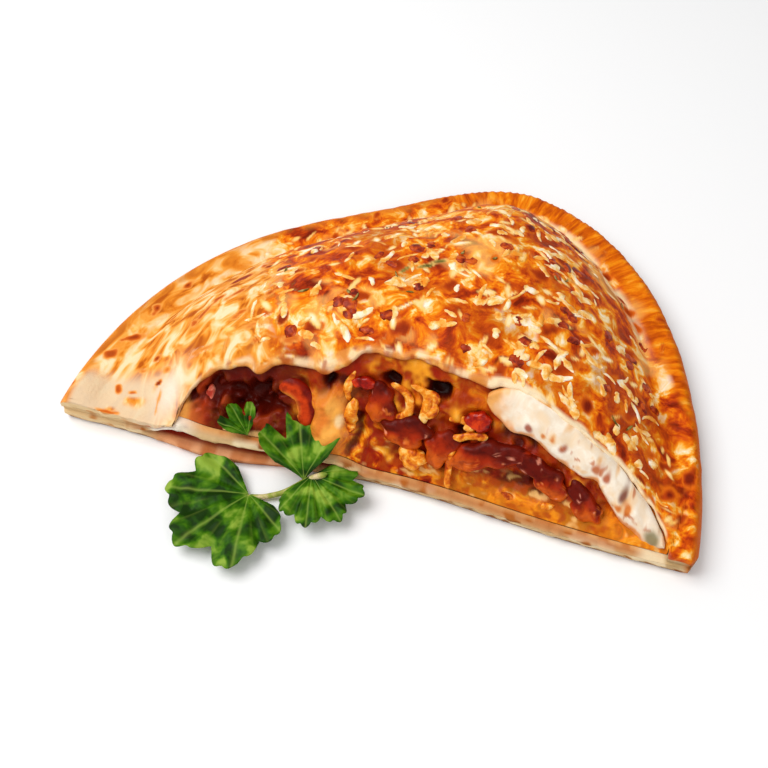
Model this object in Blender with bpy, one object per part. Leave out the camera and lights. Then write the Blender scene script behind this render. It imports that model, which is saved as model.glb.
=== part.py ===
"""A half-moon calzone, torn open along its straight side, with a sprig of parsley in front of it.

The dough is one disc folded in two: a bottom slab, a domed top sheet, and the crimped edge that joins
them along the back. Two windows in the front of the top sheet show the filling. X runs along the
straight side, Y from the straight side to the crimped back edge, and Z is up. Lengths are in
millimetres, and MM turns them to metres where a mesh is made. Angles are in degrees. The shapes are
worked out about the middle of the straight side, and at the end the whole food is moved so that
the origin lies under the middle of its box.
"""
import bmesh
import bpy
import numpy as np

MM = 0.001
GAP = 0.3                 # clearance between pieces that touch
WELD = 0.03               # corners closer than this after a Boolean become one

# The dough seen from above: a half disc whose curved edge swells to a soft corner right of the middle
HALF_CHORD = 121.0        # half of the straight side
LEFT_TIP_SHARE = 1.0      # the left tip reaches this much further out than the right one
ROUND_SWELL = 10.0
CORNER_SWELL = 30.0
CORNER_ANGLE = 78.0
CORNER_LEFT = 19.0        # how quickly the corner dies away to the left
CORNER_RIGHT = 41.0
FRONT_HOLLOW = 4.5        # how far the middle of the straight side draws back
HOLLOW_MIDDLE = 12.0
HOLLOW_REACH = 48.0
FRONT_LINE = -1.7

# The dough's heights and thicknesses
SEAM_HEIGHT = 4.5         # height of the outermost edge above the table
EDGE_ROUNDING = 5.0
RIM_HEIGHT = 12.0
RIM_WIDTH = 15.0
GROOVE_DEPTH = 2.0        # the pressed line inside the rim
GROOVE_REACH = 4.0
DOME_RISE = 37.0          # how far the top of the dome stands above the rim
DOME_REACH = 62.0
DOME_POWER = 2.3
DOME_MIDDLE = 14.0        # the highest part lies to the right of the middle
DOME_HALF_LENGTH = 130.0
DOME_FLATNESS = 2.4       # how evenly the dome keeps its height along the calzone
DOME_SHOULDER = 0.6       # and how steeply it then drops to the ends
FRONT_REACH = 50.0        # the top sheet curls down over this depth at the front
SLAB = 5.5
SHEET = 5.0               # thickness of the top sheet inside
LIP = 3.2                 # thickness of the top sheet at the windows
LIP_RUN = 14.0            # length over which it grows from the lip to the full sheet
POCKET_MARGIN = 20.0      # solid dough behind the pocket

# The two windows and what lies between and below them
WINDOW_LEFT = -73.0
WINDOW_RIGHT = 110.0
WINDOW_EASE = 8.0         # the pocket opens and closes over this length
LIP_DEPTH = 30.0          # how far the lip lies behind the straight side, in the middle
ARCH_LEFT = 5.0           # steepness of the lip's arch towards each end
ARCH_RIGHT = 2.8
LEFT_DROOP = 0.2          # the lip hangs lower over the left window
DROOP_EASE = 10.0
PILLAR_X = -17.0
PILLAR_HALF_WIDTH = 5.0
PILLAR_SHARE = 0.8
LEDGE_HEIGHT = 5.0        # the doubled dough under the left window
LEDGE_LEFT = -80.0
LEDGE_RIGHT = 2.0
LEDGE_START = 8.0         # lengths over which it rises and dies away
LEDGE_END = 14.0
LEDGE_SHOULDER = 8.0      # it climbs by this much where the window begins
SHOULDER_REACH = 8.0
LEDGE_DEPTH = 12.0        # how far back the doubled dough reaches
SLOT_DEPTH = 4.0
SLOT_TOP = 6.8            # the slab fills out where the dough is less than this high
SLAB_BULGE = 3.0          # the slab shows as a tongue under the left window
BULGE_X = -58.0
BULGE_REACH = 20.0
CLOSED_SLIT = 3.0
EDGE_FLAT = 2.4           # the slab's top is level from here to the front

# The sloping face on which the filling shows
FACE_FOOT_Y = 5.0
FACE_FOOT_Z = 6.0
FACE_SLOPE = 0.78         # run back for each unit of height
FILLING_FOOT = 3.6        # the filling starts this far behind the straight side
CAVITY_FOOT = 13.0        # and further back in the left window, which is half empty
CAVITY_RIGHT = -25.0
CAVITY_EASE = 5.0
FACE_WAVE = 1.3
FACE_RIPPLE = 0.23        # radians of the wave for each millimetre along the food
POCKET_CLEARANCE = 1.2    # the filling stops this far before the pocket's back
LEAST_POCKET = 3.0        # and where the pocket is lower than this
FILLING_SLACK = 1.2       # clearance between the filling and the dough above and below it
FILLING_INSET = 4.5       # it starts this far from the left window's corner
LIP_CLEARANCE = 2.0

LUMP_FLATNESS = 0.6       # below one makes a lump's sides steeper than a ball's
LUMP_STANDING = 1.2       # a lump's middle stands this far out of the face

# Pieces of filling that show: x, z, half length, half width, half thickness, turn in the face
SAUSAGE_SLICES = (
    (1.0, 27.0, 6.4, 5.8, 2.6, 0.0),
    (11.5, 20.6, 8.8, 4.7, 2.8, -14.0),
    (25.0, 18.4, 4.6, 6.6, 2.6, 8.0),
    (42.0, 19.4, 11.0, 5.4, 3.0, 14.0),
    (62.5, 17.6, 8.8, 4.4, 2.8, -26.0),
    (78.5, 12.4, 7.4, 4.4, 2.6, -34.0),
)
TOMATO_PIECES = (
    (-6.6, 32.0, 4.2, 2.4, 2.0, 6.0),
    (36.5, 28.6, 4.4, 4.0, 2.2, 30.0),
)
CHEESE_LUMP = (15.5, 13.2, 4.6, 2.9, 2.4, 20.0)
HAM_STRIP = (-66.5, 16.0, 2.2, 4.6, 1.6, -6.0)
PEPPER_X = -31.5
PEPPER_Z = 21.5
PEPPER_RADIUS = 7.6
PEPPER_THICKNESS = 2.7
PEPPER_START = -50.0
PEPPER_END = 175.0
PEPPER_STEPS = 13
PEPPER_INSET = 0.6        # it lies a little behind the face

# The band of soft white cheese under the right half of the lip
BAND_LEFT = 40.0
BAND_RIGHT = 106.0
BAND_HALF_HEIGHT = 5.0
BAND_HALF_THICKNESS = 2.2
BAND_DROP = 4.6
BAND_STEPS = 22
BAND_STANDING = 1.4       # how far the band's middle stands out of the face

# The parsley: a stem along the floor, with fan leaves on it
STEM_POINTS = ((-14.0, -3.4, 7.0), (-20.0, -6.2, 5.0), (-27.0, -10.6, 2.8), (-34.0, -13.8, 1.5),
               (-40.0, -15.2, 1.1), (-45.0, -20.0, 1.2))
STEM_RADIUS = 1.1
LEAF_THICKNESS = 1.1
LEAF_ARCH = 0.6           # a leaf climbs mostly near its base
LEAF_RIPPLE = 0.7
LEAF_START = 0.015        # the blade starts inside the stem, at this share of its length
LEAF_NARROWING = 0.45     # the outer lobes are shorter by this share
LOBE_DEPTH = 0.12
# Leaves: base x, y, z, length, heading, spread to each side, rise at the tip, number of lobes
LEAVES = (
    (-40.0, -15.2, 1.1, 30.0, 243.0, 104.0, 3.5, 5),
    (-18.6, -5.6, 5.2, 18.0, 316.0, 78.0, -2.0, 5),
    (-20.6, -6.5, 4.9, 23.0, 124.0, 42.0, 15.0, 3),
)
HERB_LEAF = (-50.5, 3.4, 12.6, 12.0, 152.0, 60.0, 5.0, 3)

# How finely the solids are divided
CRUST_COLUMNS = 66
END_SPREAD = 0.9995       # the outermost lines stop just short of the tips
UNDER_SHARES = np.array([0.35, 0.65, 0.85, 0.95])
UPPER_SHARES = np.linspace(0.0, 1.0, 16) ** 1.8
ROOF_SHARES = np.array([0.06, 0.18, 0.36, 0.58, 0.8, 1.0])
FLOOR_SHARES = np.array([1.0, 0.66, 0.33])
FILLING_SHARES = np.array([0.0, 0.3, 0.65, 1.0])
FACE_SHARES = np.array([0.8, 0.6, 0.4, 0.2])


def smooth_step(value, start, end):
    """Zero before start, one after end, and an S-shaped ease between."""
    share = np.clip((value - start) / (end - start), 0.0, 1.0)
    return share * share * (3.0 - 2.0 * share)


def edge_radius(angle):
    """Radius of the curved edge: a half disc, a round swell, and a corner with two different flanks."""
    turned = np.degrees(angle) - CORNER_ANGLE
    flank = np.where(turned > 0.0, CORNER_LEFT, CORNER_RIGHT)
    corner = CORNER_SWELL * np.exp(-(turned / flank) ** 2)
    return HALF_CHORD - LEFT_TIP_SHARE * np.cos(angle) + ROUND_SWELL * np.sin(angle) ** 2 + corner


def edge_distance(x, y):
    """Shortest distance in plan from each point to the curved edge."""
    angle = np.linspace(0.0, np.pi, 361)
    edge_x = edge_radius(angle) * np.cos(angle)
    edge_y = edge_radius(angle) * np.sin(angle)
    return np.hypot(x[..., None] - edge_x, y[..., None] - edge_y).min(axis=-1)


def front_line(x):
    """Y of the straight side, which draws back a little around its middle."""
    return FRONT_LINE + FRONT_HOLLOW * np.exp(-((x - HOLLOW_MIDDLE) / HOLLOW_REACH) ** 2)


def edge_arc(distance):
    """Quarter-round from zero at the outermost edge to one where the rounding ends."""
    return np.sqrt(1.0 - (1.0 - np.clip(distance / EDGE_ROUNDING, 0.0, 1.0)) ** 2)


def bottom_height(x, y):
    """Underside: flat on the table, turned up to the seam at the curved edge."""
    return SEAM_HEIGHT * (1.0 - edge_arc(edge_distance(x, y)))


def top_height(x, y):
    """Upper side: rounded edge, flat rim, pressed groove and a dome that curls down at the front."""
    distance = edge_distance(x, y)
    rim = SEAM_HEIGHT + (RIM_HEIGHT - SEAM_HEIGHT) * edge_arc(distance)
    groove = GROOVE_DEPTH * np.exp(-((distance - RIM_WIDTH) / GROOVE_REACH) ** 2)
    inland = np.clip((distance - RIM_WIDTH) / DOME_REACH, 0.0, 1.0)
    swell = 1.0 - (1.0 - inland) ** DOME_POWER
    front = np.clip((y - front_line(x)) / FRONT_REACH, 0.0, 1.0)
    curl = 1.0 - (1.0 - front) ** 2
    along = 1.0 - np.abs((x - DOME_MIDDLE) / DOME_HALF_LENGTH) ** DOME_FLATNESS
    rise = DOME_RISE * np.clip(along, 0.0, 1.0) ** DOME_SHOULDER
    return rim - groove * curl + rise * swell * curl


def openness(x):
    """One where the pocket is open, zero at the two closed ends."""
    left = smooth_step(x, WINDOW_LEFT - WINDOW_EASE, WINDOW_LEFT)
    right = 1.0 - smooth_step(x, WINDOW_RIGHT - WINDOW_EASE, WINDOW_RIGHT)
    return left * right


def lip_depth(x):
    """How far the top sheet's front edge lies behind the straight side."""
    middle = 0.5 * (WINDOW_LEFT + WINDOW_RIGHT)
    reach = 0.5 * (WINDOW_RIGHT - WINDOW_LEFT)
    steepness = np.where(x < middle, ARCH_LEFT, ARCH_RIGHT)
    arch = np.sqrt(np.clip(1.0 - np.abs((x - middle) / reach) ** steepness, 0.0, 1.0))
    right_half = smooth_step(x, PILLAR_X - DROOP_EASE, PILLAR_X + DROOP_EASE)
    droop = 1.0 - LEFT_DROOP * (1.0 - right_half)
    pillar = 1.0 - PILLAR_SHARE * np.exp(-((x - PILLAR_X) / PILLAR_HALF_WIDTH) ** 4)
    return LIP_DEPTH * arch * droop * pillar


def ledge_height(x):
    """Extra height of the dough under the left window, highest where the window begins."""
    start = smooth_step(x, LEDGE_LEFT, LEDGE_LEFT + LEDGE_START)
    end = 1.0 - smooth_step(x, LEDGE_RIGHT - LEDGE_END, LEDGE_RIGHT)
    shoulder = LEDGE_SHOULDER * np.exp(-((x - WINDOW_LEFT) / SHOULDER_REACH) ** 2)
    return start * end * (LEDGE_HEIGHT + shoulder)


def column_ends():
    """Front and back ends of the lines that cross the dough, fanned out from left to right."""
    share = np.linspace(-1.0, 1.0, CRUST_COLUMNS)
    spread = END_SPREAD * (0.5 * share + 0.5 * np.sin(0.5 * np.pi * share))
    angle = np.arccos(spread)
    front_x = (HALF_CHORD - 2.0) * spread - LEFT_TIP_SHARE
    front = np.stack([front_x, front_line(front_x)], axis=-1)
    back = np.stack([edge_radius(angle) * np.cos(angle), edge_radius(angle) * np.sin(angle)], axis=-1)
    return front, back


def plan_points(front, back, depth):
    """Plan places at the given depths behind the front ends, one row of places for each line."""
    run = back - front
    length = np.hypot(run[:, 0], run[:, 1])
    place = front[:, None, :] + (depth / length[:, None])[..., None] * run[:, None, :]
    return place[..., 0], place[..., 1]


def sheet_heights(front, back, depth):
    """Plan place, underside, pocket floor, pocket roof and upper side at the given depths."""
    x, y = plan_points(front, back, depth)
    bottom = bottom_height(x, y)
    top = top_height(x, y)
    door = front[:, :1] + 0.0 * x
    ledge = ledge_height(door) * (1.0 - smooth_step(depth, LEDGE_DEPTH, 2.5 * LEDGE_DEPTH))
    floor = bottom + np.minimum(SLAB - bottom, 0.45 * (top - bottom)) + ledge
    inward = smooth_step(depth, lip_depth(door), lip_depth(door) + LIP_RUN)
    sheet = LIP + (SHEET - LIP) * inward
    roof = np.maximum(top - sheet, floor + GAP)
    return x, y, bottom, floor, roof, np.maximum(top, roof + 0.5 * LIP)


def pocket_depths(front, back):
    """Depths of the lip and of the pocket's back, and the length of each line."""
    length = np.hypot(*(back - front).T)
    door = front[:, 0]
    lip = np.minimum(lip_depth(door), 0.6 * length)
    open_back = np.maximum(length - POCKET_MARGIN, lip + CLOSED_SLIT)
    slit = np.minimum(lip + CLOSED_SLIT, 0.5 * length)
    return lip, slit + (open_back - slit) * openness(door), length


def stacked(x, y, z):
    """Coordinates joined as points."""
    return np.stack(np.broadcast_arrays(x, y, z), axis=-1)


def lofted(name, loops, material):
    """A closed solid through a row of closed loops, with a flat face at each end."""
    size = loops.shape[1]
    model = bmesh.new()
    rows = [[model.verts.new(point) for point in loop] for loop in loops * MM]
    for row, following in zip(rows, rows[1:]):
        for k in range(size):
            corner = (k + 1) % size
            model.faces.new((row[k], row[corner], following[corner], following[k]))
    model.faces.new(rows[0])
    model.faces.new(rows[-1])
    bmesh.ops.triangulate(model, faces=model.faces)
    bmesh.ops.recalc_face_normals(model, faces=model.faces)
    mesh = bpy.data.meshes.new(name)
    model.to_mesh(mesh)
    model.free()
    mesh.materials.append(material)
    solid = bpy.data.objects.new(name, mesh)
    bpy.context.collection.objects.link(solid)
    return solid


def food_material(name, colour, roughness):
    """A plain Principled material in the food's own colour."""
    material = bpy.data.materials.new(name)
    material.use_nodes = True
    shader = material.node_tree.nodes["Principled BSDF"]
    shader.inputs["Base Color"].default_value = (*colour, 1.0)
    shader.inputs["Roughness"].default_value = roughness
    return material


def hide_cutter(tool):
    """A cutter shapes its neighbour and is no part of the food."""
    tool.hide_render = True
    tool.display_type = "WIRE"


def boolean(solid, tool, operation):
    """Adds one EXACT Boolean with the tool."""
    step = solid.modifiers.new(tool.name, "BOOLEAN")
    step.operation = operation
    step.solver = "EXACT"
    step.object = tool
    hide_cutter(tool)


def weld_corners(solid):
    """Joins the near-double corners that Booleans leave."""
    step = solid.modifiers.new("weld", "WELD")
    step.merge_threshold = WELD * MM


def make_crust():
    """Slab, crimped edge and top sheet as one folded piece of dough."""
    front, back = column_ends()
    lip, pocket, length = pocket_depths(front, back)

    under = 1.0 + (length[:, None] - 1.0) * UNDER_SHARES
    x, y, bottom, *_ = sheet_heights(front, back, under)
    underside = stacked(x, y, bottom)

    over = length[:, None] - (length - lip)[:, None] * UPPER_SHARES
    x, y, _, _, _, top = sheet_heights(front, back, over)
    upper_side = stacked(x, y, top)

    lip_steps = np.maximum(lip[:, None] + np.array([-0.9, 0.2]), 0.0)
    x, y, _, _, roof, top = sheet_heights(front, back, lip_steps)
    edge_height = np.stack([0.5 * (top[:, 0] + roof[:, 0]), roof[:, 1]], axis=1)
    lip_edge = stacked(x, y, edge_height)

    inner = lip[:, None] + (pocket - lip)[:, None] * ROOF_SHARES
    x, y, _, _, roof, _ = sheet_heights(front, back, inner)
    pocket_roof = stacked(x, y, roof)

    low = EDGE_FLAT + (pocket[:, None] - EDGE_FLAT) * FLOOR_SHARES
    x, y, _, floor, _, _ = sheet_heights(front, back, low)
    pocket_floor = stacked(x, y, floor)

    door = front[:, 0]
    slot = SLOT_DEPTH * np.minimum(ledge_height(door) / LEDGE_HEIGHT, 1.0)
    tongue = -SLAB_BULGE * np.exp(-((door - BULGE_X) / BULGE_REACH) ** 2)
    flush = 0.1 + 0.0 * door
    edge_depth = np.stack([flush + 0.9, flush, slot + flush, slot + flush, tongue + flush, tongue + 0.9], axis=1)
    x, y, bottom, floor, _, _ = sheet_heights(front, back, edge_depth)
    height = (floor - bottom)[:, 0]
    slab = np.minimum(SLAB, height)
    slot_top = slab * np.minimum(1.0, height / SLOT_TOP)
    level = np.stack([height, 0.85 * height, slot_top, 0.72 * slab, 0.62 * slab, 0.0 * slab], axis=1)
    front_edge = stacked(x, y, bottom + level)

    loops = np.concatenate([underside, upper_side, lip_edge, pocket_roof, pocket_floor, front_edge], axis=1)
    return lofted("crust", loops, food_material("baked_dough", (0.72, 0.34, 0.09), 0.55))


def face_y(z):
    """Y of the sloping face of the filling at a height."""
    return FACE_FOOT_Y + (z - FACE_FOOT_Z) * FACE_SLOPE


def filling_back(front, back, start, end):
    """Depth, from start to end, at which the pocket becomes too low for any filling."""
    depth = start[:, None] + (end - start)[:, None] * np.linspace(0.0, 1.0, 61)
    _, _, _, floor, roof, _ = sheet_heights(front, back, depth)
    low = roof - floor < LEAST_POCKET
    low[:, -1] = True
    return depth[np.arange(len(depth)), low.argmax(axis=1)]


def make_filling():
    """The sauce and melted cheese that fill the pocket, one solid through the whole calzone."""
    front, back = column_ends()
    inside = (openness(front[:, 0]) > 0.6) & (front[:, 0] > WINDOW_LEFT + FILLING_INSET)
    front, back = front[inside], back[inside]
    lip, pocket, _ = pocket_depths(front, back)
    pocket = filling_back(front, back, lip + LIP_CLEARANCE, pocket - POCKET_CLEARANCE)
    door = front[:, :1]

    cavity = 1.0 - smooth_step(door, CAVITY_RIGHT - CAVITY_EASE, CAVITY_RIGHT + CAVITY_EASE)
    foot = FILLING_FOOT + (CAVITY_FOOT - FILLING_FOOT) * cavity
    foot = np.minimum(foot, lip[:, None] + 2.0)
    floor_depth = foot + (pocket[:, None] - foot) * FILLING_SHARES
    x, y, _, floor, _, _ = sheet_heights(front, back, floor_depth)
    lower = stacked(x, y, floor + FILLING_SLACK)

    roof_depth = lip[:, None] + (pocket - lip)[:, None] * ROOF_SHARES[::-1]
    x, y, _, _, roof, _ = sheet_heights(front, back, roof_depth)
    upper = stacked(x, y, roof - FILLING_SLACK)

    low = lower[:, :1]
    high = upper[:, -1:]
    face = low + (high - low) * FACE_SHARES[:, None]
    wave = FACE_WAVE * np.sin(FACE_RIPPLE * door + 9.0 * FACE_SHARES) * np.sin(np.pi * FACE_SHARES)
    face[..., 1] -= wave
    face[..., 2] += 0.5 * wave
    loops = np.concatenate([lower, upper, face], axis=1)
    return lofted("filling", loops, food_material("tomato_and_cheese", (0.62, 0.12, 0.02), 0.35))


def rounded_lump(name, piece, material, growth=0.0):
    """A rounded piece lying in the sloping face: rings of a flattened, slightly uneven ball."""
    x, z, half_length, half_width, half_thickness, turn = piece
    slope = np.hypot(1.0, FACE_SLOPE)
    uphill = np.array([0.0, FACE_SLOPE, 1.0]) / slope
    outward = np.array([0.0, -1.0, FACE_SLOPE]) / slope
    angle = np.radians(turn)
    across = np.array([1.0, 0.0, 0.0])
    first = np.cos(angle) * across + np.sin(angle) * uphill
    second = np.cos(angle) * uphill - np.sin(angle) * across
    latitude = np.radians(np.linspace(-80.0, 80.0, 7))[:, None]
    around = np.radians(np.arange(0.0, 360.0, 30.0))[None, :]
    uneven = 1.0 + 0.06 * np.sin(2.0 * around + x) + 0.04 * np.sin(3.0 * around + z)
    ring = np.cos(latitude) ** LUMP_FLATNESS * uneven
    place = np.array([x, face_y(z), z]) + LUMP_STANDING * outward
    loops = (place
             + ((half_length + growth) * ring * np.cos(around))[..., None] * first
             + ((half_width + growth) * ring * np.sin(around))[..., None] * second
             + ((half_thickness + growth) * np.sin(latitude) + 0.0 * around)[..., None] * outward)
    return lofted(name, loops, material)


def tube(name, path, radius, material, sides=8):
    """A round tube along a path of points, its radius given for each point."""
    path = np.asarray(path, dtype=float)
    run = np.gradient(path, axis=0)
    run /= np.linalg.norm(run, axis=1)[:, None]
    side = np.cross(run, np.array([0.05, 0.1, 1.0]))
    side /= np.linalg.norm(side, axis=1)[:, None]
    rise = np.cross(side, run)
    around = np.linspace(0.0, 2.0 * np.pi, sides, endpoint=False)
    radius = np.broadcast_to(radius, len(path))[:, None, None]
    ring = np.cos(around)[None, :, None] * side[:, None, :] + np.sin(around)[None, :, None] * rise[:, None, :]
    return lofted(name, path[:, None, :] + radius * ring, material)


def make_pepper(name, material, growth=0.0):
    """An arch cut from a ring of pepper, standing in the sloping face."""
    angle = np.radians(np.linspace(PEPPER_START, PEPPER_END, PEPPER_STEPS))
    slope = np.hypot(1.0, FACE_SLOPE)
    uphill = PEPPER_RADIUS * np.sin(angle)
    x = PEPPER_X + PEPPER_RADIUS * np.cos(angle)
    y = face_y(PEPPER_Z) + PEPPER_INSET + uphill * FACE_SLOPE / slope
    z = PEPPER_Z + uphill / slope
    taper = 1.0 - 0.35 * np.abs(np.linspace(-1.0, 1.0, PEPPER_STEPS)) ** 3
    return tube(name, stacked(x, y, z), PEPPER_THICKNESS * taper + growth, material)


def make_cheese_band(name, material, growth=0.0):
    """Soft cheese hanging under the lip, an oval ring carried along the window's right half."""
    door = np.linspace(BAND_LEFT - growth, BAND_RIGHT + growth, BAND_STEPS)
    share = np.linspace(-1.0, 1.0, BAND_STEPS)
    swell = 0.1 + 0.9 * np.sqrt(1.0 - np.abs(share) ** 3)
    depth = lip_depth(door)
    lip_height = top_height(door, front_line(door) + depth)
    z = np.maximum(lip_height - LIP - BAND_DROP * (0.35 + 0.65 * swell), SLAB + BAND_HALF_HEIGHT)
    y = np.minimum(face_y(z), front_line(door) + depth + 2.0) - BAND_STANDING
    slope = np.hypot(1.0, FACE_SLOPE)
    around = np.radians(np.arange(0.0, 360.0, 36.0))[None, :]
    uphill = (BAND_HALF_HEIGHT * swell[:, None] + growth) * np.sin(around)
    outward = (BAND_HALF_THICKNESS * (0.4 + 0.6 * swell[:, None]) + growth) * np.cos(around)
    ring_y = y[:, None] + (uphill * FACE_SLOPE - outward) / slope
    ring_z = z[:, None] + (uphill + outward * FACE_SLOPE) / slope
    return lofted(name, stacked(door[:, None], ring_y, ring_z), material)


def leaf_solid(name, leaf, material):
    """A lobed fan: each line from the base runs out over the top and back underneath."""
    base_x, base_y, base_z, length, heading, spread, rise, lobes = leaf
    side = np.linspace(-1.0, 1.0, 5 * lobes + 1)[:, None]
    turn = np.radians(spread) * side
    share = np.array([[LEAF_START, 0.5, 1.0]])
    lobe = np.cos(lobes * np.pi * side)
    reach = length * (1.0 - LEAF_NARROWING * side ** 2) * (1.0 - LOBE_DEPTH * (1.0 - lobe)) * share
    direction = np.radians(heading) + turn
    x = base_x + reach * np.cos(direction)
    y = base_y + reach * np.sin(direction)
    z = base_z + rise * (reach / length) ** LEAF_ARCH + LEAF_RIPPLE * lobe * share
    half = 0.5 * LEAF_THICKNESS
    upper = stacked(x, y, z + half)
    under = stacked(x, y, z - half)[:, ::-1]
    return lofted(name, np.concatenate([upper, under], axis=1), material)


def make_sprig(material):
    """Stem and leaves of the parsley joined into one solid."""
    stem = tube("parsley_sprig", STEM_POINTS, STEM_RADIUS, material, sides=6)
    for number, leaf in enumerate(LEAVES, 1):
        boolean(stem, leaf_solid(f"sprig_leaf_{number}", leaf, material), "UNION")
    weld_corners(stem)
    return stem


def clear_scene():
    """Removes what the file held before."""
    for thing in list(bpy.data.objects):
        bpy.data.objects.remove(thing)


def main():
    """Builds every piece, lets the filling make room for the pieces in it, and sets the origin."""
    clear_scene()
    make_crust()
    filling = make_filling()

    sausage = food_material("cured_sausage", (0.30, 0.02, 0.01), 0.4)
    tomato = food_material("cooked_tomato", (0.45, 0.03, 0.01), 0.3)
    cheese = food_material("melted_cheese", (0.85, 0.45, 0.10), 0.35)
    ham = food_material("ham", (0.62, 0.22, 0.16), 0.45)
    fresh_cheese = food_material("soft_white_cheese", (0.90, 0.82, 0.70), 0.35)
    parsley = food_material("parsley", (0.07, 0.20, 0.01), 0.5)

    lumps = [(f"sausage_{number}", piece, sausage) for number, piece in enumerate(SAUSAGE_SLICES, 1)]
    lumps += [(f"tomato_{number}", piece, tomato) for number, piece in enumerate(TOMATO_PIECES, 1)]
    lumps += [("cheese_lump", CHEESE_LUMP, cheese), ("ham_strip", HAM_STRIP, ham)]
    for name, piece, material in lumps:
        rounded_lump(name, piece, material)
        boolean(filling, rounded_lump(f"{name}_room", piece, material, growth=GAP), "DIFFERENCE")
    make_pepper("pepper_ring", tomato)
    boolean(filling, make_pepper("pepper_room", tomato, growth=GAP), "DIFFERENCE")
    make_cheese_band("cheese_band", fresh_cheese)
    boolean(filling, make_cheese_band("band_room", fresh_cheese, growth=GAP), "DIFFERENCE")
    weld_corners(filling)

    make_sprig(parsley)
    leaf_solid("herb_leaf", HERB_LEAF, parsley)

    corners = np.array([vertex.co[:] for thing in bpy.data.objects for vertex in thing.data.vertices])
    middle = 0.5 * (corners.min(axis=0) + corners.max(axis=0))
    for thing in bpy.data.objects:
        thing.location = (-middle[0], -middle[1], -corners[:, 2].min())


main()
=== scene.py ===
# %% [markdown]
# # A calzone, torn open along its straight side
# A calzone is one disc of dough, folded in two over its filling, crimped along the round edge and baked. This one is
# covered with baked cheese and tomato like a pizza, and its straight side has opened so that the filling shows. This
# lesson builds each piece as a surface worked out with numpy and gives it a finish made from nodes. The first cell
# brings in the imported model, whose pieces say where everything goes, and prints their names.

# %% The imported model
import bpy
import numpy as np
from mathutils import Matrix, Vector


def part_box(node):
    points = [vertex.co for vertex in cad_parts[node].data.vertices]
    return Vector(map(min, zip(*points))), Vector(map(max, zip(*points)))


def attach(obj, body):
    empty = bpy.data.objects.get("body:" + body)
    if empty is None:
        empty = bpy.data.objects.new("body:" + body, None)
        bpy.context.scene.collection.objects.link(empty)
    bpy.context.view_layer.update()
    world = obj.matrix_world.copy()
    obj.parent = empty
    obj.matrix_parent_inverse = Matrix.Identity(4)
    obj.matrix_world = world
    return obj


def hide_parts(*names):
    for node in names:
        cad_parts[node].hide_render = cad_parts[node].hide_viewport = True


MM = 0.001
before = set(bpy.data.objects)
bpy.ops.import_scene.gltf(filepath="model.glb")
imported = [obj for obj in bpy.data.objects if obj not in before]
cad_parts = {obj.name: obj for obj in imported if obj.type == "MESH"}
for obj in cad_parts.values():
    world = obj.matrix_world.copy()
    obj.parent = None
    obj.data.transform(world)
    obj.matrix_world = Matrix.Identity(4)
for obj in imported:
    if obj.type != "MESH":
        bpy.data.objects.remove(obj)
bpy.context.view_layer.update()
print("nodes:", sorted(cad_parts))

# %% [markdown]
# ## Soft random fields
# Baked food is uneven at every size, from broad bulges down to grains. A soft random field takes
# random numbers on a square lattice and blends smoothly between them, so its lumps are as wide as
# the lattice is. Fields of different widths are added where a surface needs both. The seed keeps
# each field the same in every run.

# %% A soft random field
LATTICE = 256


def soft_field(a, b, width, seed):
    """Values from -1 to 1 with lumps `width` across: lattice values blended with an S-shaped ease."""
    table = np.random.default_rng(seed).uniform(-1.0, 1.0, (LATTICE, LATTICE))
    u, v = a / width + 0.5 * LATTICE, b / width + 0.5 * LATTICE
    i, j = np.floor(u).astype(int), np.floor(v).astype(int)
    s, t = u - i, v - j
    s, t = s * s * (3.0 - 2.0 * s), t * t * (3.0 - 2.0 * t)
    i, j, i2, j2 = i % LATTICE, j % LATTICE, (i + 1) % LATTICE, (j + 1) % LATTICE
    near = table[i, j] * (1.0 - s) + table[i2, j] * s
    far = table[i, j2] * (1.0 - s) + table[i2, j2] * s
    return near * (1.0 - t) + far * t


# %% [markdown]
# ## The dough's outline and heights
# The shapes are functions of a place on the table, in millimetres, with X along the straight side
# and Y from it to the round edge. The outline is a half disc with a round swell and a soft corner.
# The dome is the rim's height plus a rise that grows with the distance from the round edge. One set
# of functions serves the skin, the toppings that lie on it and the filling under it, so nothing floats.

# %% Sizes of the dough
HALF_CHORD = 121.0
LEFT_TIP_SHARE = 1.0
ROUND_SWELL = 10.0
CORNER_SWELL = 30.0
CORNER_ANGLE = 78.0
CORNER_LEFT = 19.0
CORNER_RIGHT = 39.5
FRONT_LINE = -1.7
FRONT_HOLLOW = 4.5
HOLLOW_MIDDLE = 12.0
HOLLOW_REACH = 48.0
SEAM_HEIGHT = 4.5
EDGE_ROUNDING = 5.0
RIM_HEIGHT = 12.0
RIM_WIDTH = 15.0
GROOVE_DEPTH = 2.0
GROOVE_REACH = 4.0
GROOVE_WIDE = 17.5
GROOVE_NARROW = 8.0
DOME_RISE = 37.0
DOME_REACH = 62.0
DOME_POWER = 2.3
DOME_MIDDLE = 14.0
DOME_HALF_LENGTH = 130.0
DOME_FLATNESS = 2.4
DOME_SHOULDER = 0.6
FRONT_REACH = 50.0
SLAB = 5.5
SHEET = 5.0
LIP = 2.4
LIP_RUN = 14.0
POCKET_MARGIN = 20.0
WINDOW_LEFT = -73.0
WINDOW_RIGHT = 110.0
WINDOW_EASE = 8.0
LIP_DEPTH = 30.0
ARCH_LEFT = 7.5
ARCH_RIGHT = 2.8
LEFT_DROOP = 0.2
DROOP_EASE = 10.0
PILLAR_X = -17.0
PILLAR_HALF_WIDTH = 6.5
PILLAR_SHARE = 0.08
DRIP_X = -44.0
DRIP_HALF_WIDTH = 4.0
DRIP_SHARE = 0.11
LEDGE_HEIGHT = 5.0
LEDGE_LEFT = -94.0
LEDGE_RIGHT = 2.0
LEDGE_START = 22.0
LEDGE_END = 14.0
LEDGE_SHOULDER = 3.0
SHOULDER_REACH = 8.0
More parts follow.
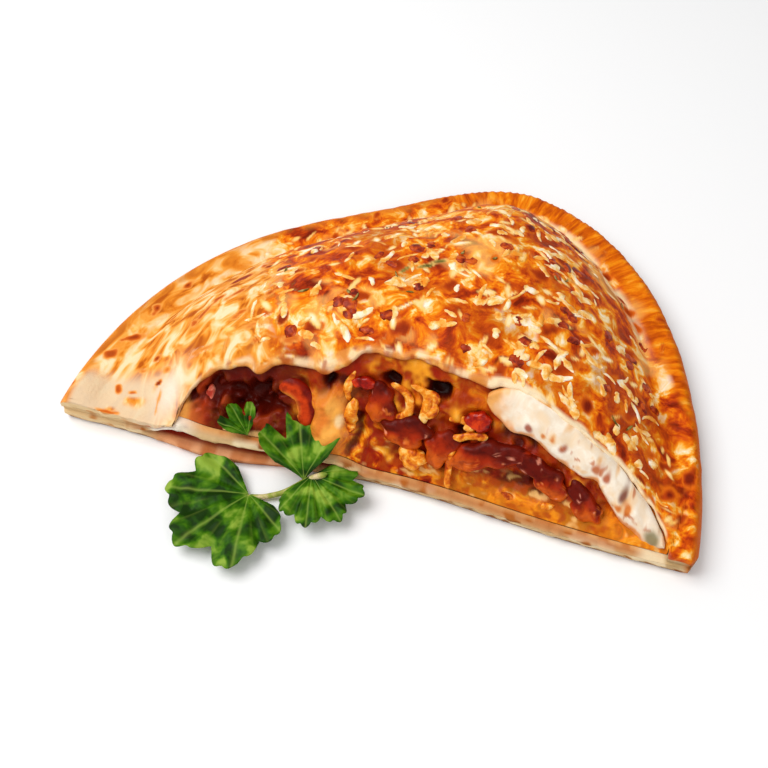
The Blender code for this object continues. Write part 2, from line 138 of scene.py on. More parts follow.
LEDGE_DEPTH = 12.0
SLOT_DEPTH = 4.0
SLOT_TOP = 6.8
SLAB_BULGE = 3.0
BULGE_X = -58.0
BULGE_REACH = 20.0
CLOSED_SLIT = 1.2
EDGE_FLAT = 2.4


def smooth_step(value, start, end):
    """Zero before start, one after end, and an S-shaped ease between."""
    share = np.clip((value - start) / (end - start), 0.0, 1.0)
    return share * share * (3.0 - 2.0 * share)


def edge_radius(angle):
    """Radius of the round edge: a half disc, a round swell, and a corner with two different flanks."""
    turned = np.degrees(angle) - CORNER_ANGLE
    flank = np.where(turned > 0.0, CORNER_LEFT, CORNER_RIGHT)
    corner = CORNER_SWELL * np.exp(-(turned / flank) ** 2)
    return HALF_CHORD - LEFT_TIP_SHARE * np.cos(angle) + ROUND_SWELL * np.sin(angle) ** 2 + corner


EDGE_ANGLE = np.linspace(0.0, np.pi, 721)
EDGE = edge_radius(EDGE_ANGLE)[:, None] * np.stack([np.cos(EDGE_ANGLE), np.sin(EDGE_ANGLE)], axis=1)
EDGE_STEP = np.linalg.norm(np.gradient(EDGE, axis=0), axis=1)
EDGE_ALONG = np.cumsum(EDGE_STEP) - EDGE_STEP[0]
EDGE_RUN = np.gradient(EDGE, axis=0) / EDGE_STEP[:, None]


def edge_place(x, y):
    """Distance from the round edge, and place along it: the nearest edge point and the line through it."""
    place = np.stack([np.ravel(x), np.ravel(y)], axis=1)
    blocks = np.array_split(place, len(place) // 4000 + 1)
    nearest = np.concatenate([np.argmin(np.hypot(block[:, :1] - EDGE[:, 0], block[:, 1:] - EDGE[:, 1]), axis=1)
                              for block in blocks])
    offset = place - EDGE[nearest]
    run = EDGE_RUN[nearest]
    distance = np.abs(offset[:, 0] * run[:, 1] - offset[:, 1] * run[:, 0])
    along = EDGE_ALONG[nearest] + np.clip((offset * run).sum(axis=1), -1.0, 1.0)
    return distance.reshape(np.shape(x)), along.reshape(np.shape(x))


def front_line(x):
    """Y of the straight side, which draws back a little around its middle."""
    return FRONT_LINE + FRONT_HOLLOW * np.exp(-((x - HOLLOW_MIDDLE) / HOLLOW_REACH) ** 2)


def edge_arc(distance):
    """Quarter-round from zero at the outermost edge to one where the rounding ends."""
    return np.sqrt(1.0 - (1.0 - np.clip(distance / EDGE_ROUNDING, 0.0, 1.0)) ** 2)


def groove_place(x, y):
    """Distance of the pressed groove from the round edge: wide at the corner, narrow at the right tip."""
    return GROOVE_NARROW + (GROOVE_WIDE - GROOVE_NARROW) * smooth_step(np.degrees(np.arctan2(y, x)), 8.0, 55.0)


def top_height(x, y, distance):
    """Rounded edge, flat rim, pressed groove and a dome that curls down at the front."""
    rim = SEAM_HEIGHT + (RIM_HEIGHT - SEAM_HEIGHT) * edge_arc(distance)
    groove = GROOVE_DEPTH * np.exp(-((distance - groove_place(x, y)) / GROOVE_REACH) ** 2)
    inland = np.clip((distance - RIM_WIDTH) / DOME_REACH, 0.0, 1.0)
    swell = 1.0 - (1.0 - inland) ** DOME_POWER
    front = np.clip((y - front_line(x)) / FRONT_REACH, 0.0, 1.0)
    curl = 1.0 - (1.0 - front) ** 2
    along = 1.0 - np.abs((x - DOME_MIDDLE) / DOME_HALF_LENGTH) ** DOME_FLATNESS
    rise = DOME_RISE * np.clip(along, 0.0, 1.0) ** DOME_SHOULDER
    return rim - groove * curl + rise * swell * curl


def window_depth(x):
    """Depth of the two windows together: an arch that droops over the left one."""
    middle = 0.5 * (WINDOW_LEFT + WINDOW_RIGHT)
    reach = 0.5 * (WINDOW_RIGHT - WINDOW_LEFT)
    steepness = np.where(x < middle, ARCH_LEFT, ARCH_RIGHT)
    arch = np.sqrt(np.clip(1.0 - np.abs((x - middle) / reach) ** steepness, 0.0, 1.0))
    droop = 1.0 - LEFT_DROOP * (1.0 - smooth_step(x, PILLAR_X - DROOP_EASE, PILLAR_X + DROOP_EASE))
    return LIP_DEPTH * arch * droop


def lip_depth(x):
    """Depth of the torn lip behind the straight side: the arch, two dips where it hangs, and a waver."""
    pillar = 1.0 - PILLAR_SHARE * np.exp(-((x - PILLAR_X) / PILLAR_HALF_WIDTH) ** 4)
    pillar = pillar * (1.0 - DRIP_SHARE * np.exp(-((x - DRIP_X) / DRIP_HALF_WIDTH) ** 2))
    waver = 1.0 + 0.05 * soft_field(x, 0.0 * x, 17.0, 12) + 0.03 * soft_field(x, 0.0 * x, 5.0, 13)
    return window_depth(x) * pillar * waver


def ledge_height(x):
    """Extra height of the dough under the left window, highest where the window begins."""
    start = smooth_step(x, LEDGE_LEFT, LEDGE_LEFT + LEDGE_START)
    end = 1.0 - smooth_step(x, LEDGE_RIGHT - LEDGE_END, LEDGE_RIGHT)
    return start * end * (LEDGE_HEIGHT + LEDGE_SHOULDER * np.exp(-((x - WINDOW_LEFT) / SHOULDER_REACH) ** 2))


print(f"the round edge is {EDGE_ALONG[-1]:.0f} mm long")

# %% [markdown]
# ## From arrays to a piece
# Every piece here is a row of closed loops, like the ribs of a boat, given as one array of places.
# The faces between two loops are quads, and each end is closed by one flat face. A mesh that is inside out shades
# wrongly and weighs a negative volume, so the volume's sign decides which way the faces turn. Each piece rides on the
# one body and says which nodes of the imported model it stands for.

# %% Making pieces
low, high = (np.array(corner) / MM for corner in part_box("crust"))
SHIFT = np.array([high[0] - EDGE[:, 0].max(), high[1] - EDGE[:, 1].max(), 0.0])
print("the middle of the straight side is at", np.round(SHIFT, 1), "mm")


def loft_faces(count, size, start=0):
    """Corner numbers of the quads between `count` loops of `size` points each."""
    k = np.arange(size)
    row = start + size * np.arange(count - 1)[:, None]
    following = (k + 1) % size
    quads = np.stack([row + k, row + following, row + size + following, row + size + k], axis=-1)
    return quads.reshape(-1, 4)


def signed_volume(points, quads):
    """Volume inside the quads, from the cone that each half quad makes with the origin."""
    a, b, c, d = (points[quads[:, k]] for k in range(4))
    return (np.einsum("ij,ij->i", a, np.cross(b, c)) + np.einsum("ij,ij->i", a, np.cross(c, d))).sum() / 6.0


def add_piece(name, lofts, material, stands_for=(), paint=None):
    """A mesh from an array of lofts (loft, loop, point, xyz) in millimetres, with its painted values."""
    lofts = lofts if lofts.ndim == 4 else lofts[None]
    number, count, size, _ = lofts.shape
    points = lofts.reshape(-1, 3)
    quads = loft_faces(count, size)
    if signed_volume(lofts[0].reshape(-1, 3) - lofts[0].reshape(-1, 3).mean(axis=0), quads) < 0.0:
        quads = quads[:, ::-1]
    first, last = np.arange(size), np.arange(size) + size * (count - 1)
    turned = quads[0, 1] != quads[0, 0] + 1
    ends = [first, last[::-1]] if turned else [first[::-1], last]
    block = count * size
    faces = (quads[None] + block * np.arange(number)[:, None, None]).reshape(-1, 4).tolist()
    faces += [(end + block * k).tolist() for k in range(number) for end in ends]
    mesh = bpy.data.meshes.new(name)
    mesh.from_pydata(((points + SHIFT) * MM).tolist(), [], faces)
    mesh.shade_smooth()
    for label, values in (paint or {}).items():
        flat = np.asarray(values, dtype=np.float32)
        if flat.ndim == lofts.ndim or flat.shape[-1] == 3 and flat.size == points.size:
            layer = mesh.color_attributes.new(label, "FLOAT_COLOR", "POINT")
            flat = flat.reshape(-1, 3)
            layer.data.foreach_set("color", np.c_[flat, np.ones(len(flat), np.float32)].ravel())
        else:
            mesh.attributes.new(label, "FLOAT", "POINT").data.foreach_set("value", flat.ravel())
    mesh.materials.append(material)
    piece = bpy.data.objects.new(name, mesh)
    bpy.context.collection.objects.link(piece)
    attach(piece, "root")
    if stands_for:
        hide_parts(*stands_for)
    print(f"{name}: {number} x {count} x {size} points")
    return piece


# %% [markdown]
# ## Colours and nodes
# Colours are chosen as sRGB hex values, as in a paint program, and turned to the linear light that
# the renderer adds up. A painted layer keeps a colour and how much of it covers what lies below, so
# many soft layers can be laid one over another before the mesh takes the result. One function adds a
# node to a material, fills its settings, and links or fills its inputs.

# %% Colours and nodes
def linear(code):
    """Linear red, green and blue of an sRGB hex value, by the sRGB curve."""
    value = np.array([int(code[k:k + 2], 16) for k in (1, 3, 5)]) / 255.0
    return np.where(value <= 0.04045, value / 12.92, ((value + 0.055) / 1.055) ** 2.4)


class Paint:
    """Painted colour and cover for each point, built up layer by layer."""

    def __init__(self, shape):
        self.colour = np.zeros((*shape, 3))
        self.cover = np.zeros(shape)

    def lay(self, code, amount):
        """Lays one colour over the rest, by the given amount at each point."""
        amount = np.clip(amount, 0.0, 1.0)
        self.colour = self.colour * (1.0 - amount[..., None]) + linear(code) * amount[..., None]
        self.cover = 1.0 - (1.0 - self.cover) * (1.0 - amount)

    def values(self):
        """The colour with its cover divided out, and the cover."""
        return {"painted": self.colour / np.maximum(self.cover, 0.001)[..., None], "cover": self.cover}


def add_node(tree, kind, inputs=None, stops=None, **settings):
    """Adds a node, sets its properties and colour stops, and fills or links each named input."""
    new = tree.nodes.new(kind)
    for name, value in settings.items():
        setattr(new, name, value)
    for name, value in (inputs or {}).items():
        if isinstance(value, bpy.types.NodeSocket):
            tree.links.new(value, new.inputs[name])
        else:
            new.inputs[name].default_value = value
    if stops:
        ramp = new.color_ramp
        while len(ramp.elements) < len(stops):
            ramp.elements.new(1.0)
        for element, (place, colour) in zip(ramp.elements, stops):
            element.position = place
            shade = linear(colour) if isinstance(colour, str) else (colour, colour, colour)
            element.color = (*shade, 1.0)
    return new


def new_material(name, roughness, coat=0.0, coat_roughness=0.2, ior=1.45):
    """A Principled material and its node tree, with the values that are the same all over."""
    material = bpy.data.materials.new(name)
    material.use_nodes = True
    shader = material.node_tree.nodes["Principled BSDF"]
    shader.inputs["Roughness"].default_value = roughness
    shader.inputs["Coat Weight"].default_value = coat
    shader.inputs["Coat Roughness"].default_value = coat_roughness
    shader.inputs["IOR"].default_value = ior
    return material, material.node_tree, shader


# %% [markdown]
# ## The crust's material
# The crust is wheat dough baked with tomato and grated cheese on it. Where the topping is thin, the
# dough is cream with toasted streaks that follow the edge. Where it is thick, molten cheese and
# tomato have run together into amber, orange and brick-red patches a few millimetres wide. The rim is
# toasted darker between the marks of the fork. Three colour patterns are made, the painted masks say
# which one shows where, and painted spots lie over all of them. The fat in the cheese gives a soft
# sheen.

# %% The crust's material
CRUMB = 8.5
STREAK_LENGTH = 15.0
STREAK_WIDTH = 7.0
FORK_PITCH = 3.5
GRAIN = 1.1


def crust_material():
    material, tree, shader = new_material("baked_dough_with_cheese", 0.6, coat=0.0, ior=1.16)
    place = add_node(tree, "ShaderNodeTexCoord").outputs["Object"]
    flow = add_node(tree, "ShaderNodeUVMap", uv_map="flow").outputs["UV"]
    topped = add_node(tree, "ShaderNodeAttribute", attribute_name="topped").outputs["Fac"]
    rim = add_node(tree, "ShaderNodeAttribute", attribute_name="rim").outputs["Fac"]
    painted = add_node(tree, "ShaderNodeAttribute", attribute_name="painted").outputs["Color"]
    cover = add_node(tree, "ShaderNodeAttribute", attribute_name="cover").outputs["Fac"]

    crumb = add_node(tree, "ShaderNodeTexNoise", {
        "Vector": place, "Scale": 1.0 / (CRUMB * MM), "Detail": 4.0, "Roughness": 0.6, "Distortion": 0.5})
    molten = add_node(tree, "ShaderNodeValToRGB", {"Fac": crumb.outputs["Fac"]}, stops=(
        (0.32, "#781C02"), (0.40, "#A83004"), (0.46, "#CE4E04"), (0.51, "#E67006"), (0.56, "#F29012"),
        (0.59, "#FAB648"), (0.64, "#FBD898"), (0.70, "#FDF0D8")))

    stretched = add_node(tree, "ShaderNodeMapping", {
        "Vector": flow, "Scale": (1.0 / (STREAK_LENGTH * MM), 1.0 / (STREAK_WIDTH * MM), 1.0)})
    streak = add_node(tree, "ShaderNodeTexNoise", {
        "Vector": stretched.outputs["Vector"], "Scale": 1.0, "Detail": 2.5, "Roughness": 0.5,
        "Distortion": 1.1})
    toasted = add_node(tree, "ShaderNodeValToRGB", {"Fac": streak.outputs["Fac"]}, stops=(
        (0.34, "#F4DAAC"), (0.42, "#F4C682"), (0.49, "#F0A444"), (0.56, "#E28420"), (0.66, "#B4540A")))

    across = add_node(tree, "ShaderNodeMapping", {
        "Vector": flow, "Scale": (1.0 / (FORK_PITCH * MM), 1.0 / (4.0 * FORK_PITCH * MM), 1.0)})
    stroke = add_node(tree, "ShaderNodeTexNoise", {
        "Vector": across.outputs["Vector"], "Scale": 1.0, "Detail": 3.0, "Roughness": 0.6,
        "Distortion": 0.4})
    crimped = add_node(tree, "ShaderNodeValToRGB", {"Fac": stroke.outputs["Fac"]}, stops=(
        (0.30, "#A83C00"), (0.42, "#CE5A00"), (0.52, "#E67402"), (0.62, "#F28E0E"), (0.74, "#F8B03E")))

    spread = add_node(tree, "ShaderNodeMath", {0: crumb.outputs["Fac"], 1: topped}, operation="ADD")
    amount = add_node(tree, "ShaderNodeMapRange", {
        "Value": spread.outputs[0], "From Min": 0.85, "From Max": 1.1})
    under = add_node(tree, "ShaderNodeMix", {
        0: amount.outputs["Result"], 6: toasted.outputs["Color"], 7: molten.outputs["Color"]}, data_type="RGBA")
    edged = add_node(tree, "ShaderNodeMix", {
        0: rim, 6: under.outputs[2], 7: crimped.outputs["Color"]}, data_type="RGBA")
    final = add_node(tree, "ShaderNodeMix", {0: cover, 6: edged.outputs[2], 7: painted}, data_type="RGBA")
    tree.links.new(final.outputs[2], shader.inputs["Base Color"])

    grain = add_node(tree, "ShaderNodeTexNoise", {
        "Vector": place, "Scale": 1.0 / (GRAIN * MM), "Detail": 3.0, "Roughness": 0.6})
    height = add_node(tree, "ShaderNodeMix", {
        0: 0.45, 2: crumb.outputs["Fac"], 3: grain.outputs["Fac"]}, data_type="FLOAT")
    bump = add_node(tree, "ShaderNodeBump", {
        "Height": height.outputs[0], "Strength": 0.55, "Distance": 1.2 * MM})
    tree.links.new(bump.outputs["Normal"], shader.inputs["Normal"])
    sheen = add_node(tree, "ShaderNodeMapRange", {
        "Value": crumb.outputs["Fac"], "From Min": 0.35, "From Max": 0.65, "To Min": 0.48, "To Max": 0.72})
    tree.links.new(sheen.outputs["Result"], shader.inputs["Roughness"])
    return material


dough = crust_material()

# %% [markdown]
# ## The crust's skin
# The crust is one folded piece: a slab on the table, an edge where it turns over, and the top sheet
# that comes back to the lip of the windows. A section through it is a C, so each closed loop runs
# along the underside, round the edge, over the top, round the lip, back along the pocket's roof and
# floor, and down the slab's front. Four hundred such loops are fanned out from tip to tip.

# %% Lines and heights of the sheets
COLUMNS = 400
END_SPREAD = 0.9995


def column_ends(count):
    """Front and back ends of the lines that cross the dough, fanned out from left to right."""
    share = np.linspace(-1.0, 1.0, count)
    spread = END_SPREAD * (0.5 * share + 0.5 * np.sin(0.5 * np.pi * share))
    angle = np.arccos(spread)
    front_x = (HALF_CHORD - 2.0) * spread - LEFT_TIP_SHARE
    front = np.stack([front_x, front_line(front_x)], axis=-1)
    back = edge_radius(angle)[:, None] * np.stack([np.cos(angle), np.sin(angle)], axis=-1)
    return front, back


def sheet_heights(front, back, depth):
    """Plan place, underside, pocket floor, pocket roof, upper side, edge distance and edge place."""
    run = back - front
    length = np.hypot(run[:, 0], run[:, 1])
    place = front[:, None, :] + (depth / length[:, None])[..., None] * run[:, None, :]
    x, y = place[..., 0], place[..., 1]
    distance, along = edge_place(x, y)
    bottom = SEAM_HEIGHT * (1.0 - edge_arc(distance))
    top = top_height(x, y, distance)
    door = front[:, :1] + 0.0 * x
    ledge = ledge_height(door) * (1.0 - smooth_step(depth, LEDGE_DEPTH, 2.5 * LEDGE_DEPTH))
    floor = bottom + np.minimum(SLAB - bottom, 0.45 * (top - bottom)) + ledge
    inward = smooth_step(depth, lip_depth(door), lip_depth(door) + LIP_RUN)
    roof = np.maximum(top - LIP - (SHEET - LIP) * inward, floor + 0.3)
    return x, y, bottom, floor, roof, np.maximum(top, roof + 0.5 * LIP), distance, along


def openness(x):
    """One where the pocket is open, zero at the two closed ends."""
    left = smooth_step(x, WINDOW_LEFT - WINDOW_EASE, WINDOW_LEFT)
    right = 1.0 - smooth_step(x, WINDOW_RIGHT - WINDOW_EASE, WINDOW_RIGHT)
    return left * right


def pocket_depths(front, back):
    """Depths of the lip and of the pocket's back, and the length of each line."""
    length = np.hypot(*(back - front).T)
    door = front[:, 0]
    lip = np.minimum(lip_depth(door), 0.6 * length)
    open_back = np.maximum(length - POCKET_MARGIN, lip + CLOSED_SLIT)
    slit = np.minimum(lip + CLOSED_SLIT, 0.5 * length)
    return lip, slit + (open_back - slit) * openness(door), length


# %% [markdown]
# ### Relief and toppings share one map
# Which part of the top is thickly covered and how high the baked surface stands are functions of the
# place, used for the skin and later for everything that lies on it. The left third is nearly bare
# dough. The fork has pressed a row of short strokes into the rim on the right.

# %% Topping map and relief
CROWN_ANGLE = 84.0
STROKE_HEIGHT = 0.3


def topping_share(x, y):
    """How thickly the top is covered, from 0 on the bare left end to 1 on the right."""
    line = x + 0.42 * (y - 40.0) + 9.0 * soft_field(x, y, 16.0, 11)
    return smooth_step(line, -66.0, -22.0)


def crimp_share(distance, along):
    """One on the right-hand rim, where the fork strokes are."""
    angle = np.degrees(np.interp(along, EDGE_ALONG, EDGE_ANGLE))
    round_edge = 1.0 - smooth_step(angle, CROWN_ANGLE, CROWN_ANGLE + 18.0)
    return round_edge * smooth_step(distance, 0.5, 3.0) * (1.0 - smooth_step(distance, 11.0, 14.5))


def top_relief(x, y, distance, along):
    """Height of the baked surface over the smooth dome, in millimetres."""
    topped = topping_share(x, y)
    inland = smooth_step(distance, 4.0, 20.0)
    broad = 0.9 * inland * soft_field(x, y, 24.0, 21) + 3.0 * np.exp(-((x + 114.0) / 9.0) ** 2 - ((y - 5.0) / 8.0) ** 2)
    lumps = (0.18 + 0.42 * topped) * soft_field(x, y, 6.5, 22)
    grains = (0.06 + 0.26 * topped) * soft_field(x, y, 2.8, 23)
    strokes = STROKE_HEIGHT * crimp_share(distance, along) * np.sin(
        2.0 * np.pi * along / FORK_PITCH + 2.6 * soft_field(along, distance, 9.0, 24))
    return broad + (lumps + grains) * (0.35 + 0.65 * inland) + strokes


def top_surface(x, y):
    """Height of the finished top at any place."""
    distance, along = edge_place(x, y)
    return top_height(x, y, distance) + top_relief(x, y, distance, along)


# %% The crust's loops
def crust_loops():
    """Places of the loops, and for each point its depth, segment number, edge distance and edge place."""
    front, back = column_ends(COLUMNS)
    lip, pocket, length = pocket_depths(front, back)
    door = front[:, 0]
    parts = []

    def segment(number, depth, pick):
        x, y, bottom, floor, roof, top, distance, along = sheet_heights(front, back, depth)
        z = pick(bottom, floor, roof, top)
        kind = np.full(x.shape, float(number))
        parts.append(np.stack([*np.broadcast_arrays(x, y, z, depth, kind, distance, along)], axis=-1))

    share = np.linspace(0.06, 0.985, 16)
    segment(0, 1.0 + (length[:, None] - 1.0) * (1.0 - (1.0 - share) ** 2), lambda b, f, r, t: b)
    share = np.linspace(0.0, 1.0, 160) ** 1.35
    segment(1, length[:, None] - (length - lip)[:, None] * share, lambda b, f, r, t: t)
    turn = np.radians(np.linspace(70.0, -75.0, 8))
    round_lip = np.maximum(lip[:, None] - 1.1 * np.cos(turn), 0.0)
    segment(2, round_lip, lambda b, f, r, t: 0.5 * (t + r) + 0.5 * (t - r) * np.sin(turn))
    share = np.linspace(0.02, 1.0, 12) ** 1.4
    segment(3, lip[:, None] + (pocket - lip)[:, None] * share, lambda b, f, r, t: r)
    share = np.linspace(1.0, 0.05, 12) ** 1.4
    segment(4, EDGE_FLAT + (pocket[:, None] - EDGE_FLAT) * share, lambda b, f, r, t: f)

    slot = SLOT_DEPTH * np.minimum(ledge_height(door) / LEDGE_HEIGHT, 1.0)
    tongue = -SLAB_BULGE * np.exp(-((door - BULGE_X) / BULGE_REACH) ** 2)
    none = 0.0 * door
    _, _, bottom, floor, _, _, _, _ = sheet_heights(front, back, none[:, None] + 0.1)
    height = (floor - bottom)[:, 0]
    slab = np.minimum(SLAB, height)
    slot_top = slab * np.minimum(1.0, height / SLOT_TOP)
    knots = np.stack([none + 1.6, none + 0.1, slot + 0.1, slot + 0.1, tongue + 0.1, tongue + 1.2], axis=1)
    level = np.stack([height, 0.86 * height, slot_top, 0.74 * slab, 0.6 * slab, none], axis=1)
    where = np.linspace(0.0, 5.0, 24)
    step = np.minimum(where.astype(int), 4)
    ease = where - step
    depth = knots[:, step] * (1.0 - ease) + knots[:, step + 1] * ease
    rise = level[:, step] * (1.0 - ease) + level[:, step + 1] * ease
    segment(5, depth, lambda b, f, r, t: b + rise)
    return np.concatenate(parts, axis=1)


def loop_normals(points):
    """Unit normals of a row of closed loops, from the differences along and across them."""
    around = np.roll(points, -1, axis=1) - np.roll(points, 1, axis=1)
    across = np.gradient(points, axis=0)
    normal = np.cross(around, across)
    return normal / np.maximum(np.linalg.norm(normal, axis=-1, keepdims=True), 1e-6)


loops = crust_loops()
skin = loops[..., :3]
depth, kind, distance, along = np.moveaxis(loops[..., 3:], -1, 0)
normals = loop_normals(skin)
if normals[COLUMNS // 2, 100, 2] < 0.0:
    normals = -normals
print("loops:", skin.shape)

# %% [markdown]
# ### Painting the crust
# Some marks are too particular for a pattern: the toasted spots on the bare end, the dark round bits
# on the right, the pale line where the sheet was pressed down inside the rim, and the light edge of
# the lip. Each is an ellipse or a band whose strength is worked out for every point of the skin and
# laid over the rest. A spot is orange at its border and nearly black-red in its middle.

# %% Spots and bands
# x, y, half length, half width, turn in degrees, strength
TOASTING = 1.25
TOASTED_SPOTS = (
    (-70.0, 60.0, 8.0, 2.2, 42.0, 0.9), (-92.0, 44.0, 5.0, 1.8, 50.0, 0.8), (-58.0, 38.0, 6.0, 2.0, 30.0, 0.7),
    (-50.0, 48.0, 5.0, 2.2, 48.0, 0.9), (-60.0, 70.0, 5.5, 2.4, 40.0, 0.9), (-78.0, 70.0, 4.5, 2.0, 35.0, 0.85),
    (-45.0, 60.0, 4.0, 2.4, 60.0, 0.9), (-72.0, 48.0, 4.0, 1.6, 20.0, 0.7), (-48.0, 28.0, 5.0, 1.6, 10.0, 0.6),
    (-96.0, 65.0, 5.0, 1.9, 58.0, 0.8), (-103.0, 50.0, 3.6, 2.2, 100.0, 0.8), (-76.0, 39.0, 7.5, 1.9, 62.0, 0.85),
    (-64.0, 50.0, 5.5, 2.3, 50.0, 0.6), (-106.0, 34.0, 5.5, 1.9, 28.0, 0.75), (-111.0, 24.0, 3.6, 2.8, 60.0, 0.7),
    (-41.0, 37.0, 2.4, 2.8, 0.0, 1.15), (-89.0, 22.0, 1.8, 1.8, 0.0, 0.8), (-82.0, 17.0, 2.6, 2.2, 0.0, 0.5),
    (-84.0, 12.0, 2.0, 1.2, 40.0, 1.1), (-101.0, 9.0, 3.4, 1.6, -50.0, 0.7), (-94.0, 8.0, 1.8, 0.8, 0.0, 0.6),
    (-52.0, 33.0, 6.0, 1.7, 20.0, 0.5), (-36.0, 30.0, 4.5, 1.8, 15.0, 0.5), (-118.0, 7.0, 3.0, 1.6, 70.0, 0.5),
    (-86.0, 55.0, 5.0, 1.4, 50.0, 0.5), (-100.0, -1.0, 6.0, 1.1, 5.0, 0.6), (-82.0, 5.0, 0.8, 6.5, 3.0, 0.35),
    (-69.0, 24.0, 7.0, 1.3, 24.0, 0.45), (-60.0, 26.0, 0.8, 4.0, 0.0, 0.4), (-93.0, 17.0, 2.2, 1.0, 10.0, 0.45),
)
RED_SPOTS = (
    (73.0, 35.0, 3.4, 3.2, 0.0, 1.2), (107.0, 22.0, 4.4, 3.6, 40.0, 1.1), (113.5, 31.0, 5.0, 3.0, 80.0, 1.0),
    (112.0, 14.0, 3.6, 2.4, 80.0, 0.9), (-8.0, 69.0, 6.0, 3.2, 20.0, 0.9), (90.0, 52.0, 4.5, 3.0, 60.0, 1.0),
    (2.0, 41.0, 5.0, 3.0, 30.0, 0.9), (69.0, 118.0, 3.6, 2.4, 130.0, 0.9), (76.0, 106.0, 3.0, 2.0, 120.0, 0.9),
    (15.0, 64.0, 5.0, 4.0, 20.0, 0.9),
    (-27.0, 77.0, 8.0, 3.4, 10.0, 0.9), (30.0, 58.0, 6.0, 2.4, 25.0, 0.9), (53.0, 56.0, 7.0, 3.4, 60.0, 0.9),
    (62.0, 45.0, 8.0, 4.5, 40.0, 0.9), (88.0, 44.0, 6.0, 3.6, 80.0, 0.85), (46.0, 81.0, 5.0, 3.6, 0.0, 0.9),
    (28.0, 96.0, 8.0, 2.8, -12.0, 0.85), (50.0, 97.0, 5.0, 2.6, -35.0, 0.9), (-29.0, 35.0, 4.0, 3.4, 30.0, 0.9),
    (-17.0, 50.0, 6.5, 3.0, 25.0, 0.8), (-42.0, 70.0, 5.0, 3.4, 40.0, 0.7), (104.0, 12.0, 3.0, 2.0, 0.0, 0.9),
    (40.0, 34.0, 5.5, 3.0, 60.0, 0.9), (84.0, 72.0, 5.0, 3.0, 60.0, 0.8), (99.0, 34.0, 4.0, 3.0, 90.0, 0.7),
)


def spot_strength(x, y, spot, uneven):
    """How strong an elliptical spot is at each point: its strength in the middle, zero past the border."""
    spot_x, spot_y, half_length, half_width, turn, strength = spot
    angle = np.radians(turn)
    first = (x - spot_x) * np.cos(angle) + (y - spot_y) * np.sin(angle)
    second = (y - spot_y) * np.cos(angle) - (x - spot_x) * np.sin(angle)
    reach = np.hypot(first / half_length, second / half_width)
    return strength * (1.0 - smooth_step(reach + uneven, 0.1, 1.3))


def lay_spots(paint, x, y, spots, mask, border, ring, middle):
    """Paints spots in three colours, from a soft border inwards to the middle of the strongest."""
    uneven = 0.3 * soft_field(x, y, 2.2, 31) + 0.35 * soft_field(x, y, 4.5, 32)
    strength = np.zeros_like(x)
    for spot in spots:
        strength = np.maximum(strength, spot_strength(x, y, spot, uneven))
    strength = strength * mask
    paint.lay(border, smooth_step(strength, 0.06, 0.4))
    paint.lay(ring, smooth_step(strength, 0.35, 0.7))
    paint.lay(middle, smooth_step(strength, 0.7, 1.05))


def scattered_spots(count, seed, sizes, slimness, strengths):
    """Random spots on the top, more of them where the topping is thick."""
    rng = np.random.default_rng(seed)
    spots = np.stack([rng.uniform(-110.0, 118.0, count), rng.uniform(4.0, 150.0, count),
                      rng.uniform(*sizes, count), rng.uniform(*sizes, count) * slimness,
                      rng.uniform(0.0, 180.0, count), rng.uniform(*strengths, count)], axis=1)
    keep = rng.uniform(0.0, 1.0, count) < 0.06 + 0.94 * topping_share(spots[:, 0], spots[:, 1])
    return tuple(tuple(spot) for spot in spots[keep])


HERB_SPOTS = (
    (3.0, 71.0, 4.6, 1.1, 35.0, 1.1), (8.0, 75.0, 3.4, 1.0, 20.0, 1.0), (-3.0, 68.0, 3.0, 0.9, 50.0, 0.9),
)


# %% Painting the crust
x, y, z = np.moveaxis(skin, -1, 0)
is_top = (kind == 1) | (kind == 2)
beside_pillar = np.exp(-((skin[:, :1, 0] - PILLAR_X) / 10.0) ** 4)
lip_start = lip_depth(skin[:, :1, 0]) * (1.0 - beside_pillar) + window_depth(skin[:, :1, 0]) * beside_pillar
near_lip = is_top * (1.0 - smooth_step(depth - lip_start + 0.6 * soft_field(x, y, 6.0, 40), 0.1, 1.7))
edge_angle = np.degrees(np.interp(along, EDGE_ALONG, EDGE_ANGLE))
on_right = 1.0 - smooth_step(edge_angle, 84.0, 100.0)
waver = soft_field(along, distance, 14.0, 41)

topped = topping_share(x, y) * is_top
corner_side = smooth_step(edge_angle, 16.0, 40.0)
rim_end = 3.0 + (groove_place(x, y) - 6.0) * corner_side * on_right
rim = np.where(is_top, 1.0 - smooth_step(distance + 1.8 * waver, rim_end - 2.5, rim_end + 1.5), 1.0)

paint = Paint(x.shape)
edge_band = (1.0 - smooth_step(distance + 2.0 * waver, 4.0, 9.0)) * (1.0 - on_right) * is_top
paint.lay("#E08A2C", 0.6 * edge_band * smooth_step(soft_field(along, distance, 6.0, 49), -0.7, 0.3))
paint.lay("#C0661A", 0.6 * edge_band * smooth_step(soft_field(along, distance, 5.0, 50), 0.25, 0.8))
patches = soft_field(x, y, 13.0, 34) + 0.5 * soft_field(x, y, 5.0, 33)
inland = smooth_step(distance, 6.0, 14.0)
paint.lay("#B04408", 0.5 * topped * inland * smooth_step(patches, 0.25, 0.75))
paint.lay("#FAC26A", 0.5 * topped * inland * smooth_step(-patches, 0.3, 0.8))
bare_tip = smooth_step(-x, 74.0, 84.0) * (1.0 - smooth_step(y, 10.0, 19.0)) * is_top
bare_tip = bare_tip * smooth_step(distance, 4.0, 8.0)
paint.lay("#E2C8A4", 0.9 * bare_tip * (1.0 - smooth_step(soft_field(x, y, 5.0, 42), 0.4, 0.9)))
bulge = np.exp(-((x + 78.0) / 5.0) ** 2 - ((y - 9.0) / 9.0) ** 2) * is_top
paint.lay("#F4E2CC", 0.95 * bulge)
groove_line = np.exp(-((distance - groove_place(x, y) + 1.6 - 0.9 * waver) / 2.8) ** 4) * is_top
